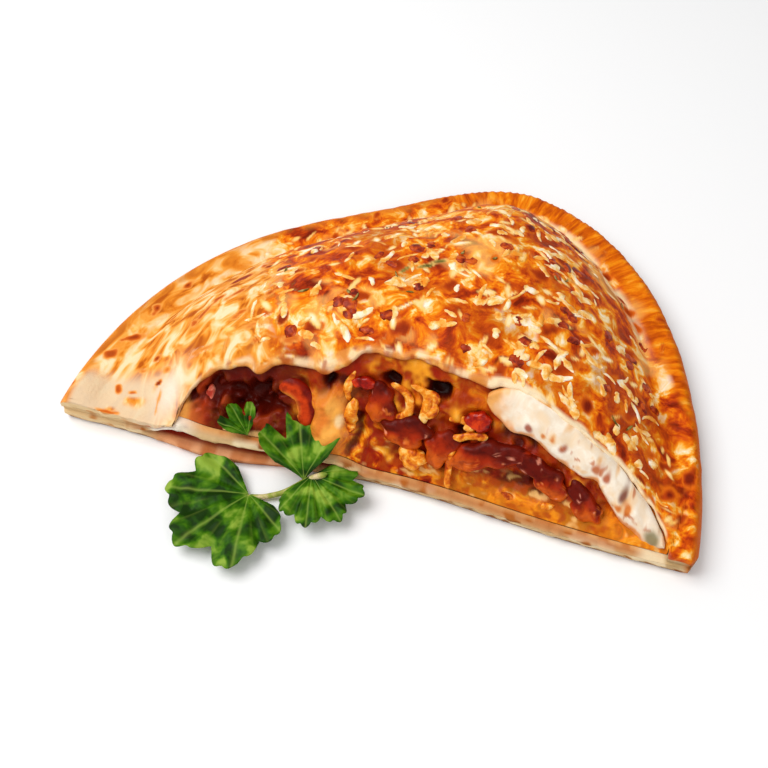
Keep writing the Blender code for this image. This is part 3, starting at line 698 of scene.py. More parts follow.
groove_line = groove_line * smooth_step(edge_angle, 36.0, 54.0) * (1.0 - smooth_step(edge_angle, 90.0, 102.0))
paint.lay("#FBE2B4", 0.95 * groove_line * smooth_step(soft_field(along, distance, 10.0, 43), -1.0, -0.4))
side_wall = (1.0 - smooth_step(distance, 1.2, 4.5)) * on_right * smooth_step(80.0 - edge_angle, 0.0, 25.0)
paint.lay("#C65A04", 0.95 * side_wall)
lay_spots(paint, x, y, RED_SPOTS + scattered_spots(110, 44, (1.8, 4.6), 0.6, (0.4, 0.95)), is_top,
          "#DE6A0E", "#B03C08", "#781C06")
lay_spots(paint, x, y, TOASTED_SPOTS, TOASTING * is_top, "#EE9C44", "#CC5C12", "#8E2C0A")
lay_spots(paint, x, y, scattered_spots(300, 46, (2.0, 4.4), 0.34, (0.5, 1.0)), is_top * inland,
          "#FBC466", "#FCDCA0", "#FEF2DE")
lay_spots(paint, x, y, HERB_SPOTS, is_top, "#E8B868", "#94803C", "#5E5822")
near_lip = near_lip * smooth_step(skin[:, :1, 0], -74.0, -68.0) * (1.0 - smooth_step(skin[:, :1, 0], 106.0, 112.0))
lip_wave = soft_field(x, depth, 4.0, 39) + 0.5 * soft_field(x, depth, 1.8, 38)
on_white = smooth_step(x, 20.0, 50.0)
paint.lay("#F0BC76", near_lip * (0.45 + 0.35 * on_white))
paint.lay("#F9E0B8", near_lip * (0.6 + 0.4 * on_white) * smooth_step(lip_wave + 0.7 * on_white, 0.0, 0.5))
paint.lay("#DA8434", 0.85 * near_lip * smooth_step(-lip_wave - 0.4 * on_white, 0.0, 0.5))
paint.lay("#A83C0E", 0.7 * near_lip * (1.0 - on_white) * smooth_step(soft_field(x, depth, 3.0, 25), 0.45, 0.8))
under_lip = (kind == 2) * np.clip((skin[:, 176:177, 2] - z) / LIP - 0.35, 0.0, 1.0) * smooth_step(skin[:, :1, 0], -74.0, -68.0)
paint.lay("#B2541A", 1.4 * under_lip * (1.0 - 0.6 * smooth_step(x, 30.0, 50.0)))

inside = (kind == 3) | (kind == 4)
paint.lay("#B4450F", 0.9 * inside)
# Painted shade: the pocket's roof and floor turn nearly black-red the further they lie behind the lip.
paint.lay("#3A0803", inside * smooth_step(depth - lip_depth(skin[:, :1, 0]), 2.0, 14.0))
front_face = kind == 5
crumb_face = front_face * 1.0
paint.lay("#D2AE7C", crumb_face)
paint.lay("#EAD2A8", crumb_face * smooth_step(soft_field(x, 3.0 * z, 6.0, 45), 0.1, 0.6))
paint.lay("#9A5C26", crumb_face * smooth_step(soft_field(x, 2.5 * z, 3.6, 46), 0.25, 0.7))
paint.lay("#B4601E", 0.7 * crumb_face * smooth_step(z, 4.0, 5.4) * (1.0 - smooth_step(z, 5.6, 7.0)))
paint.lay("#7A4216", crumb_face * (1.0 - smooth_step(z, 0.3, 1.4)))
shelf = (kind == 4) * (1.0 - smooth_step(depth, 6.0, 12.0))
paint.lay("#E2A868", 0.9 * shelf)
paint.lay("#C06A28", 0.8 * shelf * smooth_step(soft_field(x, y, 4.0, 36), 0.1, 0.5))
pressed_slab = crumb_face * smooth_step(x, -88.0, -76.0) * (1.0 - smooth_step(x, -30.0, -10.0)) * (1.0 - smooth_step(z, 3.6, 5.0))
paint.lay("#C8703C", 0.85 * pressed_slab)
paint.lay("#EAA878", 0.9 * pressed_slab * smooth_step(soft_field(x, 2.0 * z, 5.0, 35), 0.0, 0.5))
paint.lay("#8A2C10", 0.8 * pressed_slab * smooth_step(-soft_field(x, 2.0 * z, 5.0, 35), 0.3, 0.7))
slot_line = front_face * smooth_step(depth, 1.2, 3.0) * (x > LEDGE_LEFT) * (x < LEDGE_RIGHT)
paint.lay("#8E1A08", slot_line)
paint.lay("#9A5A22", (kind == 0) * 1.0)

paint.lay("#FBF0DE", (front_face + shelf) * (1.0 - smooth_step(x, -76.0, -62.0)) * smooth_step(z, 6.5, 8.5))
paint.lay("#C4702A", front_face * smooth_step(x, 115.0, 119.0))
right_end = (kind >= 3) * smooth_step(x, 98.0, 104.0) * (1.0 - smooth_step(x, 114.0, 118.0)) * smooth_step(z, 2.0, 3.5)
paint.lay("#EAD2AA", right_end)
paint.lay("#B0884C", 0.7 * right_end * smooth_step(soft_field(x, 1.5 * z, 4.0, 29), 0.1, 0.6))
tip_seam = (kind >= 2) * (1.0 - smooth_step(x, -98.0, -86.0)) * smooth_step(z, 1.0, 2.5)
paint.lay("#E4C492", tip_seam)
paint.lay("#C0742C", 0.8 * tip_seam * smooth_step(soft_field(x, 1.5 * z, 3.6, 30), 0.15, 0.6))

relief = top_relief(x, y, distance, along) * ((kind == 1) + (kind == 0) * (1.0 - smooth_step(distance, 2.0, 9.0)))
relief = relief + (kind == 2) * 0.5 * soft_field(x, y + z, 3.0, 47)
relief = relief + front_face * 0.45 * soft_field(x, z, 2.4, 48) * smooth_step(z, 0.2, 1.5)
ends = np.minimum(np.arange(COLUMNS), np.arange(COLUMNS)[::-1])[:, None]
relief = relief * smooth_step(ends, 2.0, 16.0)
skin = skin + normals * relief[..., None]
skin[..., 2] = np.maximum(skin[..., 2], 0.0)

crust = add_piece("crust_skin", skin, dough, ("crust",),
                  {**paint.values(), "topped": topped, "rim": rim})
flow = crust.data.uv_layers.new(name="flow")
corners = np.empty(len(crust.data.loops), dtype=np.int64)
crust.data.loops.foreach_get("vertex_index", corners)
places = np.stack([along.ravel(), distance.ravel()], axis=1)[corners] * MM
flow.data.foreach_set("uv", places.ravel())

# %% [markdown]
# ## The filling
# Tomato sauce and molten cheese fill the pocket and show as a slope from the slab up to the lip. The slope is a grid of
# its own with a much deeper relief than the dough: folds of cheese stand out, and a few dark hollows lead inside. The
# hollows and the cream folds are given one by one, the rest is random. Oil makes it glossy.

# %% The filling's material
FOLD = 6.5


def filling_material():
    material, tree, shader = new_material("sauce_and_melted_cheese", 0.36, coat=0.02, coat_roughness=0.12, ior=1.19)
    place = add_node(tree, "ShaderNodeTexCoord").outputs["Object"]
    painted = add_node(tree, "ShaderNodeAttribute", attribute_name="painted").outputs["Color"]
    cover = add_node(tree, "ShaderNodeAttribute", attribute_name="cover").outputs["Fac"]
    folds = add_node(tree, "ShaderNodeTexNoise", {
        "Vector": place, "Scale": 1.0 / (FOLD * MM), "Detail": 4.0, "Roughness": 0.58, "Distortion": 1.4})
    colour = add_node(tree, "ShaderNodeValToRGB", {"Fac": folds.outputs["Fac"]}, stops=(
        (0.32, "#6A0C01"), (0.40, "#A82C02"), (0.47, "#D45804"), (0.54, "#EC8008"), (0.62, "#F8A624"),
        (0.74, "#FCD078")))
    final = add_node(tree, "ShaderNodeMix", {0: cover, 6: colour.outputs["Color"], 7: painted}, data_type="RGBA")
    tree.links.new(final.outputs[2], shader.inputs["Base Color"])
    grain = add_node(tree, "ShaderNodeTexNoise", {
        "Vector": place, "Scale": 1.0 / (1.6 * MM), "Detail": 3.0, "Roughness": 0.6, "Distortion": 0.5})
    height = add_node(tree, "ShaderNodeMix", {
        0: 0.35, 2: folds.outputs["Fac"], 3: grain.outputs["Fac"]}, data_type="FLOAT")
    bump = add_node(tree, "ShaderNodeBump", {
        "Height": height.outputs[0], "Strength": 0.6, "Distance": 1.4 * MM})
    tree.links.new(bump.outputs["Normal"], shader.inputs["Normal"])
    return material


sauce = filling_material()

# %% The filling's shape
FACE_FOOT_Y = 5.0
FACE_FOOT_Z = 6.0
FACE_SLOPE = 0.78
FILLING_FOOT = 3.6
CAVITY_FOOT = 5.0
CAVITY_RIGHT = -25.0
CAVITY_EASE = 5.0
FILLING_LEFT = -74.0
FILLING_RIGHT = 109.5
STEEPNESS = np.hypot(1.0, FACE_SLOPE)
UPHILL = np.array([0.0, FACE_SLOPE, 1.0]) / STEEPNESS
OUTWARD = np.array([0.0, -1.0, FACE_SLOPE]) / STEEPNESS
# x, z, half length, half width, depth
HOLLOWS = (
    (3.3, 33.7, 5.0, 2.4, 4.0), (19.8, 34.0, 6.0, 2.6, 4.5), (-19.3, 32.0, 3.2, 3.4, 5.0), (27.0, 15.0, 3.0, 5.0, 2.0),
    (-46.0, 22.0, 13.0, 5.5, 7.0), (-60.0, 22.0, 8.0, 4.0, 4.0), (30.0, 24.0, 3.4, 2.4, 2.6), 
    (52.0, 24.5, 3.0, 1.6, 2.0), (-52.0, 15.0, 7.0, 3.0, 3.0), (-68.0, 19.0, 4.0, 3.0, 2.5),
)


def face_y(z):
    """Y of the sloping face of the filling at a height."""
    return FACE_FOOT_Y + (z - FACE_FOOT_Z) * FACE_SLOPE


def filling_loops():
    """A closed loop for each millimetre or less along the pocket: floor, roof and the sloping face."""
    front, back = column_ends(COLUMNS)
    inside_window = (front[:, 0] > FILLING_LEFT) & (front[:, 0] < FILLING_RIGHT)
    front, back = front[inside_window], back[inside_window]
    lip, _, _ = pocket_depths(front, back)
    door = front[:, :1]
    cavity = 1.0 - smooth_step(door, CAVITY_RIGHT - CAVITY_EASE, CAVITY_RIGHT + CAVITY_EASE)
    foot = np.minimum(FILLING_FOOT + (CAVITY_FOOT - FILLING_FOOT) * cavity, lip[:, None] + 2.0)
    behind = foot + np.linspace(0.0, 16.0, 5)
    x, y, _, floor, _, _, _, _ = sheet_heights(front, back, behind)
    lower = np.stack([x, y, floor + 0.2], axis=-1)
    under_lip = lip[:, None] + np.linspace(16.0, 0.6, 6)
    x, y, _, floor, roof, _, _, _ = sheet_heights(front, back, under_lip)
    upper = np.stack([x, y, np.maximum(roof - 0.5, floor + 0.4)], axis=-1)
    share = np.linspace(1.0, 0.0, 92)[1:-1]
    low, high = lower[:, :1], upper[:, -1:]
    face = low + (high - low) * share[:, None]
    return lower, upper, face


# x, z, half length, half width, half thickness, turn
SAUSAGE_SLICES = (
    (1.0, 27.0, 6.6, 6.2, 2.8, 0.0), (11.5, 20.6, 9.8, 5.6, 3.0, -14.0), (25.0, 18.4, 5.8, 7.2, 2.8, 8.0),
    (42.0, 19.4, 12.6, 6.2, 3.2, 14.0), (62.5, 17.6, 10.4, 5.4, 3.0, -26.0), (78.5, 12.4, 8.4, 4.8, 2.8, -34.0),
)

lower, upper, face = filling_loops()
x, y, z = np.moveaxis(face, -1, 0)
pull = np.sin(np.pi * np.linspace(1.0, 0.0, 92)[1:-1]) ** 0.6
folded = 2.6 * soft_field(x + 5.0 * soft_field(x, z, 9.0, 51), z, 7.0, 52)
lumpy = 1.3 * soft_field(x + 2.0 * soft_field(z, x, 4.0, 57), z, 3.6, 53) + 0.6 * soft_field(x, z, 1.7, 54)
hollow = np.zeros_like(x)
for spot_x, spot_z, half_length, half_width, depth_mm in HOLLOWS:
    reach = np.hypot((x - spot_x) / half_length, (z - spot_z) / half_width) + 0.45 * soft_field(x, z, 2.6, 55)
    hollow = np.maximum(hollow, depth_mm * (1.0 - smooth_step(reach, 0.25, 1.2)))
bridge = np.exp(-((x - PILLAR_X - 0.5) / 6.0) ** 4) * (1.0 - smooth_step(z, 24.0, 31.0))
cavity = 1.0 - smooth_step(x, -34.0, -24.0)
stand = pull * (folded + lumpy) * (1.0 - 0.45 * cavity) + 3.2 * pull * bridge - hollow
face = face + stand[..., None] * OUTWARD

paint = Paint(x.shape)
dim = soft_field(x, z, 6.0, 58) + 0.6 * soft_field(x, z, 2.4, 59)
# Painted shade: the face turns darker orange, then dark red, towards the top, where the lip hangs over it.
paint.lay("#C05A08", 0.6 * smooth_step(z + 5.0 * dim, 18.0, 24.0))
paint.lay("#9A2602", 0.8 * smooth_step(z + 11.0 * dim, 26.0, 33.0))
paint.lay("#951A02", 0.9 * smooth_step(dim, 0.3, 0.75))
for slice_x, slice_z, half_length, half_width, _, turn in SAUSAGE_SLICES:
    angle = np.radians(turn)
    first = (x - slice_x) * np.cos(angle) + (z - slice_z) * np.sin(angle)
    second = (z - slice_z) * np.cos(angle) - (x - slice_x) * np.sin(angle)
    reach = np.hypot(first / half_length, second / half_width) + 0.3 * dim
    paint.lay("#8E1E02", 0.85 * (1.0 - smooth_step(reach, 1.0, 1.5)))
# Painted shade darkens the troughs between the folds. The crests are painted amber and cream, partly cheese colour and
# partly painted highlight.
paint.lay("#4A0801", 0.9 * smooth_step(-folded - lumpy, 0.7, 2.2))
paint.lay("#F6A022", 0.85 * smooth_step(folded + lumpy, 1.2, 2.4) * smooth_step(x, -12.0, -6.0))
paint.lay("#FBC866", 0.8 * smooth_step(folded + lumpy, 2.4, 3.6) * smooth_step(x, -12.0, -6.0))
# The left window's filling is painted dark red, partly its own colour and partly painted shade of the deep window.
paint.lay("#5E0C02", 0.94 * cavity)
paint.lay("#A83C0C", 0.7 * cavity * smooth_step(soft_field(x, z, 4.0, 56), 0.3, 0.8))
paint.lay("#EE9E48", 0.95 * cavity * (1.0 - smooth_step(x + 0.5 * (z - 12.0), -69.0, -62.0)))
paint.lay("#B83A12", 0.7 * cavity * (1.0 - smooth_step(x, -66.0, -60.0)) * smooth_step(x, -71.0, -68.0))
paint.lay("#F4A848", bridge)
paint.lay("#DC6C20", 0.8 * bridge * smooth_step(soft_field(x, z, 4.2, 37), 0.15, 0.6))
paint.lay("#FCDCA6", 0.9 * bridge * smooth_step(-soft_field(x, z, 4.2, 37), -0.05, 0.4))
paint.lay("#F2C07C", 0.9 * cavity * (1.0 - smooth_step(z + 0.8 * dim, 11.4, 13.0)) * (x > -56.0))
paint.lay("#EC8E18", 0.6 * (1.0 - smooth_step(z, 8.0, 14.0)) * (x > 24.0))
curl = soft_field(x + 3.0 * soft_field(z, x, 4.0, 28), 1.7 * z, 4.0, 27) + 0.5 * soft_field(x, 1.7 * z, 1.7, 26)
low_slope = (1.0 - smooth_step(z, 12.0, 17.0)) * smooth_step(x, -8.0, 4.0)
paint.lay("#FBC878", 0.75 * low_slope * smooth_step(curl, 0.35, 0.8))
paint.lay("#B04206", 0.75 * low_slope * smooth_step(-curl, 0.3, 0.8))
# Painted shade: the hollows turn dark red, then nearly black as they deepen, less so in the left window.
paint.lay("#540C02", smooth_step(hollow, 0.5, 2.2))
paint.lay("#240602", smooth_step(hollow, 2.2, 4.6) * (1.0 - 0.75 * cavity))
values = {name: np.zeros((*lower.shape[:1], 101, *field.shape[2:])) for name, field in paint.values().items()}
for name, field in paint.values().items():
    values[name][:, 11:] = field
values["painted"][:, :11] = linear("#4A0A02")
values["cover"][:, :11] = 1.0
filling = add_piece("filling_folds", np.concatenate([lower, upper, face], axis=1), sauce,
                    ("filling",), values)

# %% [markdown]
# ## Pieces in the filling
# Slices of cured sausage, bits of tomato, ham and cheese lie in the slope. Each is a flattened ball
# with steep sides: rings of latitude that are nearly as wide as the middle one, with an uneven
# outline. One function makes them all from their place, sizes and turn.

# %% Rounded pieces
LUMP_FLATNESS = 0.5
LUMP_STANDING = 0.2


def lump_rings(piece, seed, rough=0.06, latitudes=20, around_count=44):
    """Rings of a flattened, slightly uneven ball that lies in the filling's slope."""
    x, z, half_length, half_width, half_thickness, turn = piece
    angle = np.radians(turn)
    sideways = np.array([1.0, 0.0, 0.0])
    first = np.cos(angle) * sideways + np.sin(angle) * UPHILL
    second = np.cos(angle) * UPHILL - np.sin(angle) * sideways
    latitude = np.radians(np.linspace(-86.0, 86.0, latitudes))[:, None]
    around = np.linspace(0.0, 2.0 * np.pi, around_count, endpoint=False)[None, :]
    uneven = 1.0 + rough * np.sin(2.0 * around + seed) + 0.6 * rough * np.sin(3.0 * around + 2.0 * seed)
    uneven = uneven + 0.35 * rough * np.sin(7.0 * around + 3.0 * seed) + 0.3 * rough * np.sin(5.0 * around + seed)
    ring = np.cos(latitude) ** LUMP_FLATNESS * uneven
    wave = 0.5 * soft_field(half_length * np.cos(around) * ring, half_width * np.sin(around) * ring, 2.4, seed)
    place = np.array([x, face_y(z), z]) + LUMP_STANDING * OUTWARD
    return (place + (half_length * ring * np.cos(around))[..., None] * first
            + (half_width * ring * np.sin(around))[..., None] * second
            + (half_thickness * np.sin(latitude) + wave)[..., None] * OUTWARD)


# %% [markdown]
# ### Cured sausage, tomato, ham and cheese
# Cured sausage is minced meat and fat, dark red with paler specks, and shines where its fat has melted. Cooked tomato
# and pepper are smooth, wet and redder. Ham is pink with a soft sheen. All use the same plan: a speckle pattern between
# two or three colours, a fine bump, and their own gloss. The sausage slices are painted instead, with painted shade on
# their tops and painted highlights on their lower fronts.

# %% Materials of the pieces
def speckled_material(name, speck, stops, roughness, coat, bump_mm, distortion=0.4):
    material, tree, shader = new_material(name, roughness, coat=coat, coat_roughness=0.1, ior=1.27)
    place = add_node(tree, "ShaderNodeTexCoord").outputs["Object"]
    specks = add_node(tree, "ShaderNodeTexNoise", {
        "Vector": place, "Scale": 1.0 / (speck * MM), "Detail": 4.0, "Roughness": 0.6, "Distortion": distortion})
    colour = add_node(tree, "ShaderNodeValToRGB", {"Fac": specks.outputs["Fac"]}, stops=stops)
    tree.links.new(colour.outputs["Color"], shader.inputs["Base Color"])
    bump = add_node(tree, "ShaderNodeBump", {
        "Height": specks.outputs["Fac"], "Strength": 0.6, "Distance": bump_mm * MM})
    tree.links.new(bump.outputs["Normal"], shader.inputs["Normal"])
    return material


sausage = speckled_material("cured_sausage", 3.4, (
    (0.36, "#2E0301"), (0.5, "#620A04"), (0.6, "#8E1608"), (0.72, "#C24A2C")), 0.35, 0.1, 0.8)
tomato = speckled_material("cooked_tomato", 4.0, (
    (0.35, "#5A0501"), (0.5, "#9C1202"), (0.66, "#D23A06")), 0.28, 0.15, 0.5)
ham = speckled_material("ham", 3.5, (
    (0.38, "#B0301C"), (0.52, "#D8644A"), (0.66, "#F0A488")), 0.4, 0.25, 0.5)
melted = speckled_material("melted_cheese", 4.0, (
    (0.36, "#A03402"), (0.45, "#D4640A"), (0.53, "#F0921E"), (0.62, "#FBC262"), (0.72, "#FDE0A6")), 0.3, 0.05, 0.35)


def painted_food_material(name, mottle, darkest, bump_mm):
    """Soft food whose colour is painted on its points, varied a little by a pattern `mottle` mm wide."""
    material, tree, shader = new_material(name, 0.4, coat=0.02, coat_roughness=0.15, ior=1.2)
    place = add_node(tree, "ShaderNodeTexCoord").outputs["Object"]
    painted = add_node(tree, "ShaderNodeAttribute", attribute_name="painted").outputs["Color"]
    patches = add_node(tree, "ShaderNodeTexNoise", {
        "Vector": place, "Scale": 1.0 / (mottle * MM), "Detail": 4.0, "Roughness": 0.55, "Distortion": 0.4})
    shade = add_node(tree, "ShaderNodeValToRGB", {"Fac": patches.outputs["Fac"]}, stops=(
        (0.34, darkest), (0.5, "#F4EEE8"), (0.62, "#FFFFFF")))
    colour = add_node(tree, "ShaderNodeMix", {0: 1.0, 6: painted, 7: shade.outputs["Color"]},
                      data_type="RGBA", blend_type="MULTIPLY")
    tree.links.new(colour.outputs[2], shader.inputs["Base Color"])
    bump = add_node(tree, "ShaderNodeBump", {
        "Height": patches.outputs["Fac"], "Strength": 0.5, "Distance": bump_mm * MM})
    tree.links.new(bump.outputs["Normal"], shader.inputs["Normal"])
    return material


painted_food = painted_food_material("soft_cooked_food", 3.0, "#C9B8AA", 0.7)
white_cheese = painted_food_material("soft_white_cheese", 7.0, "#F2E2CE", 0.8)



def sausage_colour_shade_and_highlights(rings, slice_):
    """Dark red meat with fat specks. Painted shade makes the top of the slice nearly black, a painted highlight makes
    its lower front bright red, and the pale pink specks are partly fat and partly painted highlights.
    """
    x, z = rings[..., 0], rings[..., 2]
    above = (z - slice_[1]) / slice_[3]
    wave = soft_field(x, z, 4.0, 65)
    speck = soft_field(x, 1.3 * z, 1.5, 66)
    paint = Paint(x.shape)
    paint.lay("#A82A06", np.ones(x.shape))
    # Painted highlight on the lower front, painted shade on the top, then orange fat specks and pale pink specks that
    # are partly fat and partly painted highlights.
    paint.lay("#DA6214", 0.9 * (1.0 - smooth_step(above + 0.6 * wave, -0.6, 0.15)))
    paint.lay("#5C0C03", 0.92 * smooth_step(above + 0.7 * wave, 0.0, 0.75))
    paint.lay("#E8772A", 0.85 * smooth_step(speck + 0.6 * wave, 0.5, 0.9) * (1.0 - smooth_step(above, 0.0, 0.6)))
    paint.lay("#F09A80", 0.8 * smooth_step(speck + 0.4 * wave, 0.8, 1.05))
    return paint.values()


for number, slice_ in enumerate(SAUSAGE_SLICES, 1):
    rings = lump_rings(slice_, 60 + number, 0.2, 28, 60)
    add_piece(f"sausage_slice_{number}", rings, painted_food,
              (f"sausage_{number}",), sausage_colour_shade_and_highlights(rings, slice_))
add_piece("tomato_bit_1", lump_rings((-6.6, 32.0, 4.4, 2.6, 2.2, 6.0), 71, 0.12), tomato, ("tomato_1",))
add_piece("tomato_bit_2", lump_rings((36.5, 28.6, 4.6, 4.2, 2.4, 30.0), 72, 0.12), tomato, ("tomato_2",))
add_piece("amber_lump", lump_rings((15.5, 13.4, 5.4, 4.0, 3.0, 20.0), 73, 0.16), melted, ("cheese_lump",))
add_piece("ham_piece", lump_rings((-64.0, 16.5, 2.2, 4.8, 1.8, -6.0), 74, 0.08), ham, ("ham_strip",))

# %% [markdown]
# ### Arch of pepper and strands of cheese
# The arch in the left window is half of a ring cut across a pepper. It is a tube bent along a circle
# that stands in the slope. Strands of molten cheese are thinner tubes: some curl around the sausage
# slices, others hang down the slope. A tube needs a direction for its rings, which comes from its
# path and from the slope's outward direction.

# %% Tubes in the slope
PEPPER_X = -34.2
PEPPER_Z = 19.5
PEPPER_RADIUS = 8.4
PEPPER_THICKNESS = 4.0


def slope_tube(path, radius, sides=12, flatness=1.0):
    """Rings around a path (point, xyz), `radius` wide in the slope and flatness times that across it."""
    run = np.gradient(path, axis=0)
    run /= np.linalg.norm(run, axis=1)[:, None]
    side = np.cross(run, OUTWARD)
    side /= np.linalg.norm(side, axis=1)[:, None]
    across = np.cross(side, run)
    around = np.linspace(0.0, 2.0 * np.pi, sides, endpoint=False)
    radius = np.broadcast_to(radius, len(path))[:, None, None]
    return path[:, None, :] + radius * (np.cos(around)[None, :, None] * side[:, None, :]
                                        + flatness * np.sin(around)[None, :, None] * across[:, None, :])


def slope_arc(x, z, radius_x, radius_z, start, end, steps, standing, uneven=1.0):
    """Points of an ellipse's arc in the slope, standing out of it by a given height, a little uneven."""
    angle = np.radians(np.linspace(start, end, steps))
    place = np.array([x, face_y(z), z]) + standing * OUTWARD
    wider = 1.0 + 0.14 * uneven * soft_field(0.12 * np.degrees(angle), x + z + 0.0 * angle, 4.0, 75)
    lift = 1.1 * uneven * soft_field(0.12 * np.degrees(angle), x - z + 0.0 * angle, 3.0, 76)
    return (place + (wider * radius_x * np.cos(angle))[:, None] * np.array([1.0, 0.0, 0.0])
            + (wider * radius_z * np.sin(angle))[:, None] * UPHILL + lift[:, None] * OUTWARD)


steps = 40
arch = slope_arc(PEPPER_X, PEPPER_Z, PEPPER_RADIUS, PEPPER_RADIUS, -35.0, 118.0, steps, 1.4, uneven=0.0)
swell = 1.0 - 0.35 * np.abs(np.linspace(-1.0, 1.0, steps)) ** 3
swell = swell * np.sqrt(np.clip(1.0 - np.abs(np.linspace(-1.0, 1.0, steps)) ** 14, 0.02, 1.0))
tube = slope_tube(arch, PEPPER_THICKNESS * swell, sides=24, flatness=0.6)
reach = np.linalg.norm(tube - (np.array([PEPPER_X, face_y(PEPPER_Z), PEPPER_Z]) + OUTWARD), axis=-1)
skin_side = Paint(tube.shape[:2])
skin_side.lay("#D2400F", 0.8 * np.ones(tube.shape[:2]))
skin_side.lay("#F09438", 0.9 * (1.0 - smooth_step(reach, 5.0, 7.6)))
skin_side.lay("#7A0E02", 0.95 * smooth_step(reach + 0.8 * soft_field(tube[..., 0], tube[..., 2], 3.0, 78), 9.8, 11.2))
add_piece("pepper_arch", tube, painted_food, ("pepper_ring",), skin_side.values())

# x, z, radius across, radius up, start and end angle, thickness, standing
STRANDS = (
    (1.5, 27.0, 9.0, 8.4, -60.0, 80.0, 1.7, 0.4), (4.0, 27.5, 13.5, 11.0, -40.0, 60.0, 1.5, 0.2),
    (42.0, 18.0, 15.0, 9.8, 95.0, 165.0, 1.6, 0.2), (31.5, 14.0, 2.5, 9.0, 110.0, 250.0, 1.4, 1.6),
    (-8.0, 22.0, 1.2, 6.0, 90.0, 270.0, 2.2, 1.4), (-10.0, 30.0, 2.0, 5.0, 90.0, 260.0, 1.3, 1.4),
    (14.0, 30.0, 6.0, 5.0, -60.0, 100.0, 1.6, 0.2), (30.0, 25.0, 5.0, 4.0, -40.0, 140.0, 1.9, 0.4),
    (60.0, 12.0, 12.0, 5.0, 215.0, 320.0, 1.2, 0.0),
)
tubes = []
taper = np.sqrt(np.clip(1.0 - np.linspace(-1.0, 1.0, 36) ** 6, 0.03, 1.0))
for x, z, radius_x, radius_z, start, end, thick, standing in STRANDS:
    width = taper * (1.0 + 0.35 * soft_field(np.arange(36.0), x + 0.0 * taper, 5.0, 77))
    tubes.append(slope_tube(slope_arc(x, z, radius_x, radius_z, start, end, 36, standing), thick * width, 12, 0.6))
add_piece("cheese_strands", np.stack(tubes), melted)

# %% [markdown]
# ### The white cheese under the lip
# Along the right half of the lip the cheese has stayed white and hangs as one soft band. It is an
# oval ring carried along the lip, and a random relief makes it sag and bulge.

# %% The white band
BAND_LEFT = 38.0
BAND_RIGHT = 108.5
BAND_THICKNESS = 3.2
# x and height of the band's lower edge
BAND_FOOT = ((38.0, 32.5), (46.0, 29.5), (58.8, 26.4), (67.1, 22.6), (81.2, 19.4), (88.0, 13.5),
             (95.0, 8.0), (100.0, 5.6), (112.0, 4.6))


def band_rings(steps=240, sides=64):
    """An oval ring carried along the lip: from just under the lip down to the band's lower edge."""
    door = np.linspace(BAND_LEFT, BAND_RIGHT, steps)
    share = np.linspace(-1.0, 1.0, steps)
    swell = np.sqrt(1.0 - 0.94 * np.abs(share) ** np.where(share > 0.0, 14.0, 5.0))
    lip_y = front_line(door) + lip_depth(door)
    distance, _ = edge_place(door, lip_y)
    high = np.stack([lip_y + 0.2, top_height(door, lip_y, distance) - 0.45 * LIP], axis=-1)
    low_z = np.interp(door, *zip(*BAND_FOOT)) + 1.5 * soft_field(door, door, 8.0, 84)
    low_z = np.minimum(low_z, high[:, 1] - 3.0)
    low = np.stack([np.minimum(face_y(low_z), high[:, 0]) - 0.3, low_z], axis=-1)
    half = 0.5 * (high - low) * swell[:, None]
    middle = 0.5 * (high + low)
    outward = np.stack([-half[:, 1], half[:, 0]], axis=-1)
    outward /= np.linalg.norm(outward, axis=-1, keepdims=True)
    around = np.linspace(0.0, 2.0 * np.pi, sides, endpoint=False)[None, :]
    up = np.sin(around) * np.ones((steps, 1))
    bulge = 1.0 + 0.5 * soft_field(door[:, None], 6.0 * up, 8.0, 81) + 0.14 * soft_field(door[:, None], 6.0 * up, 3.0, 82)
    out = BAND_THICKNESS * (0.3 + 0.7 * swell[:, None]) * np.cos(around) * bulge
    place = middle[:, None] + half[:, None] * up[..., None] + outward[:, None] * out[..., None]
    return np.concatenate([(door[:, None] + 0.0 * up)[..., None], place], axis=-1), up


band, up = band_rings()
x, z = band[..., 0], band[..., 2]
speck = soft_field(x, z, 4.0, 85) + 0.5 * soft_field(x, z, 1.8, 86)
paint = Paint(x.shape)
paint.lay("#FFF2DE", np.ones(x.shape))
paint.lay("#F6C27E", 0.7 * smooth_step(speck, 0.45, 0.8))
paint.lay("#DC7418", 0.9 * smooth_step(speck, 0.7, 1.0) * smooth_step(x, 50.0, 62.0))
fine_speck = soft_field(x, z, 1.6, 87) + 0.5 * soft_field(x, z, 5.0, 88)
paint.lay("#C8641E", 0.75 * smooth_step(fine_speck, 0.7, 1.0) * smooth_step(x, 56.0, 68.0))
paint.lay("#EE922A", 0.8 * (1.0 - smooth_step(up + 0.2 * speck, -0.98, -0.7)))
paint.lay("#F0A440", 0.9 * (1.0 - smooth_step(x - 3.0 * up + 3.0 * speck, 39.0, 48.0)))
for spot_x, spot_z, size, code in ((54.0, 33.0, 1.6, "#A03A0C"), (67.0, 30.0, 1.8, "#B04A10"), (80.0, 25.5, 2.2, "#C4601A"),
                                   (91.0, 19.0, 2.0, "#7A2808"), (84.0, 23.0, 1.6, "#B8501A"), (103.5, 9.5, 2.6, "#8A8460")):
    paint.lay(code, 0.9 * (1.0 - smooth_step(np.hypot(x - spot_x, z - spot_z) / size + 0.3 * speck, 0.4, 1.2)))
add_piece("white_cheese_band", band, white_cheese, ("cheese_band",), paint.values())

# %% [markdown]
# ## Toppings
# Grated cheese keeps the shape of its shreds when it bakes: bent strips about 10 mm long and 3 mm
# wide, half sunk into the molten layer. Bits of sausage and tomato lie between them, with flecks of
# dried herb. They are made by the hundred from a few random numbers each, laid on the finished top,
# and joined into one mesh for each kind, so each has only a few dozen faces.

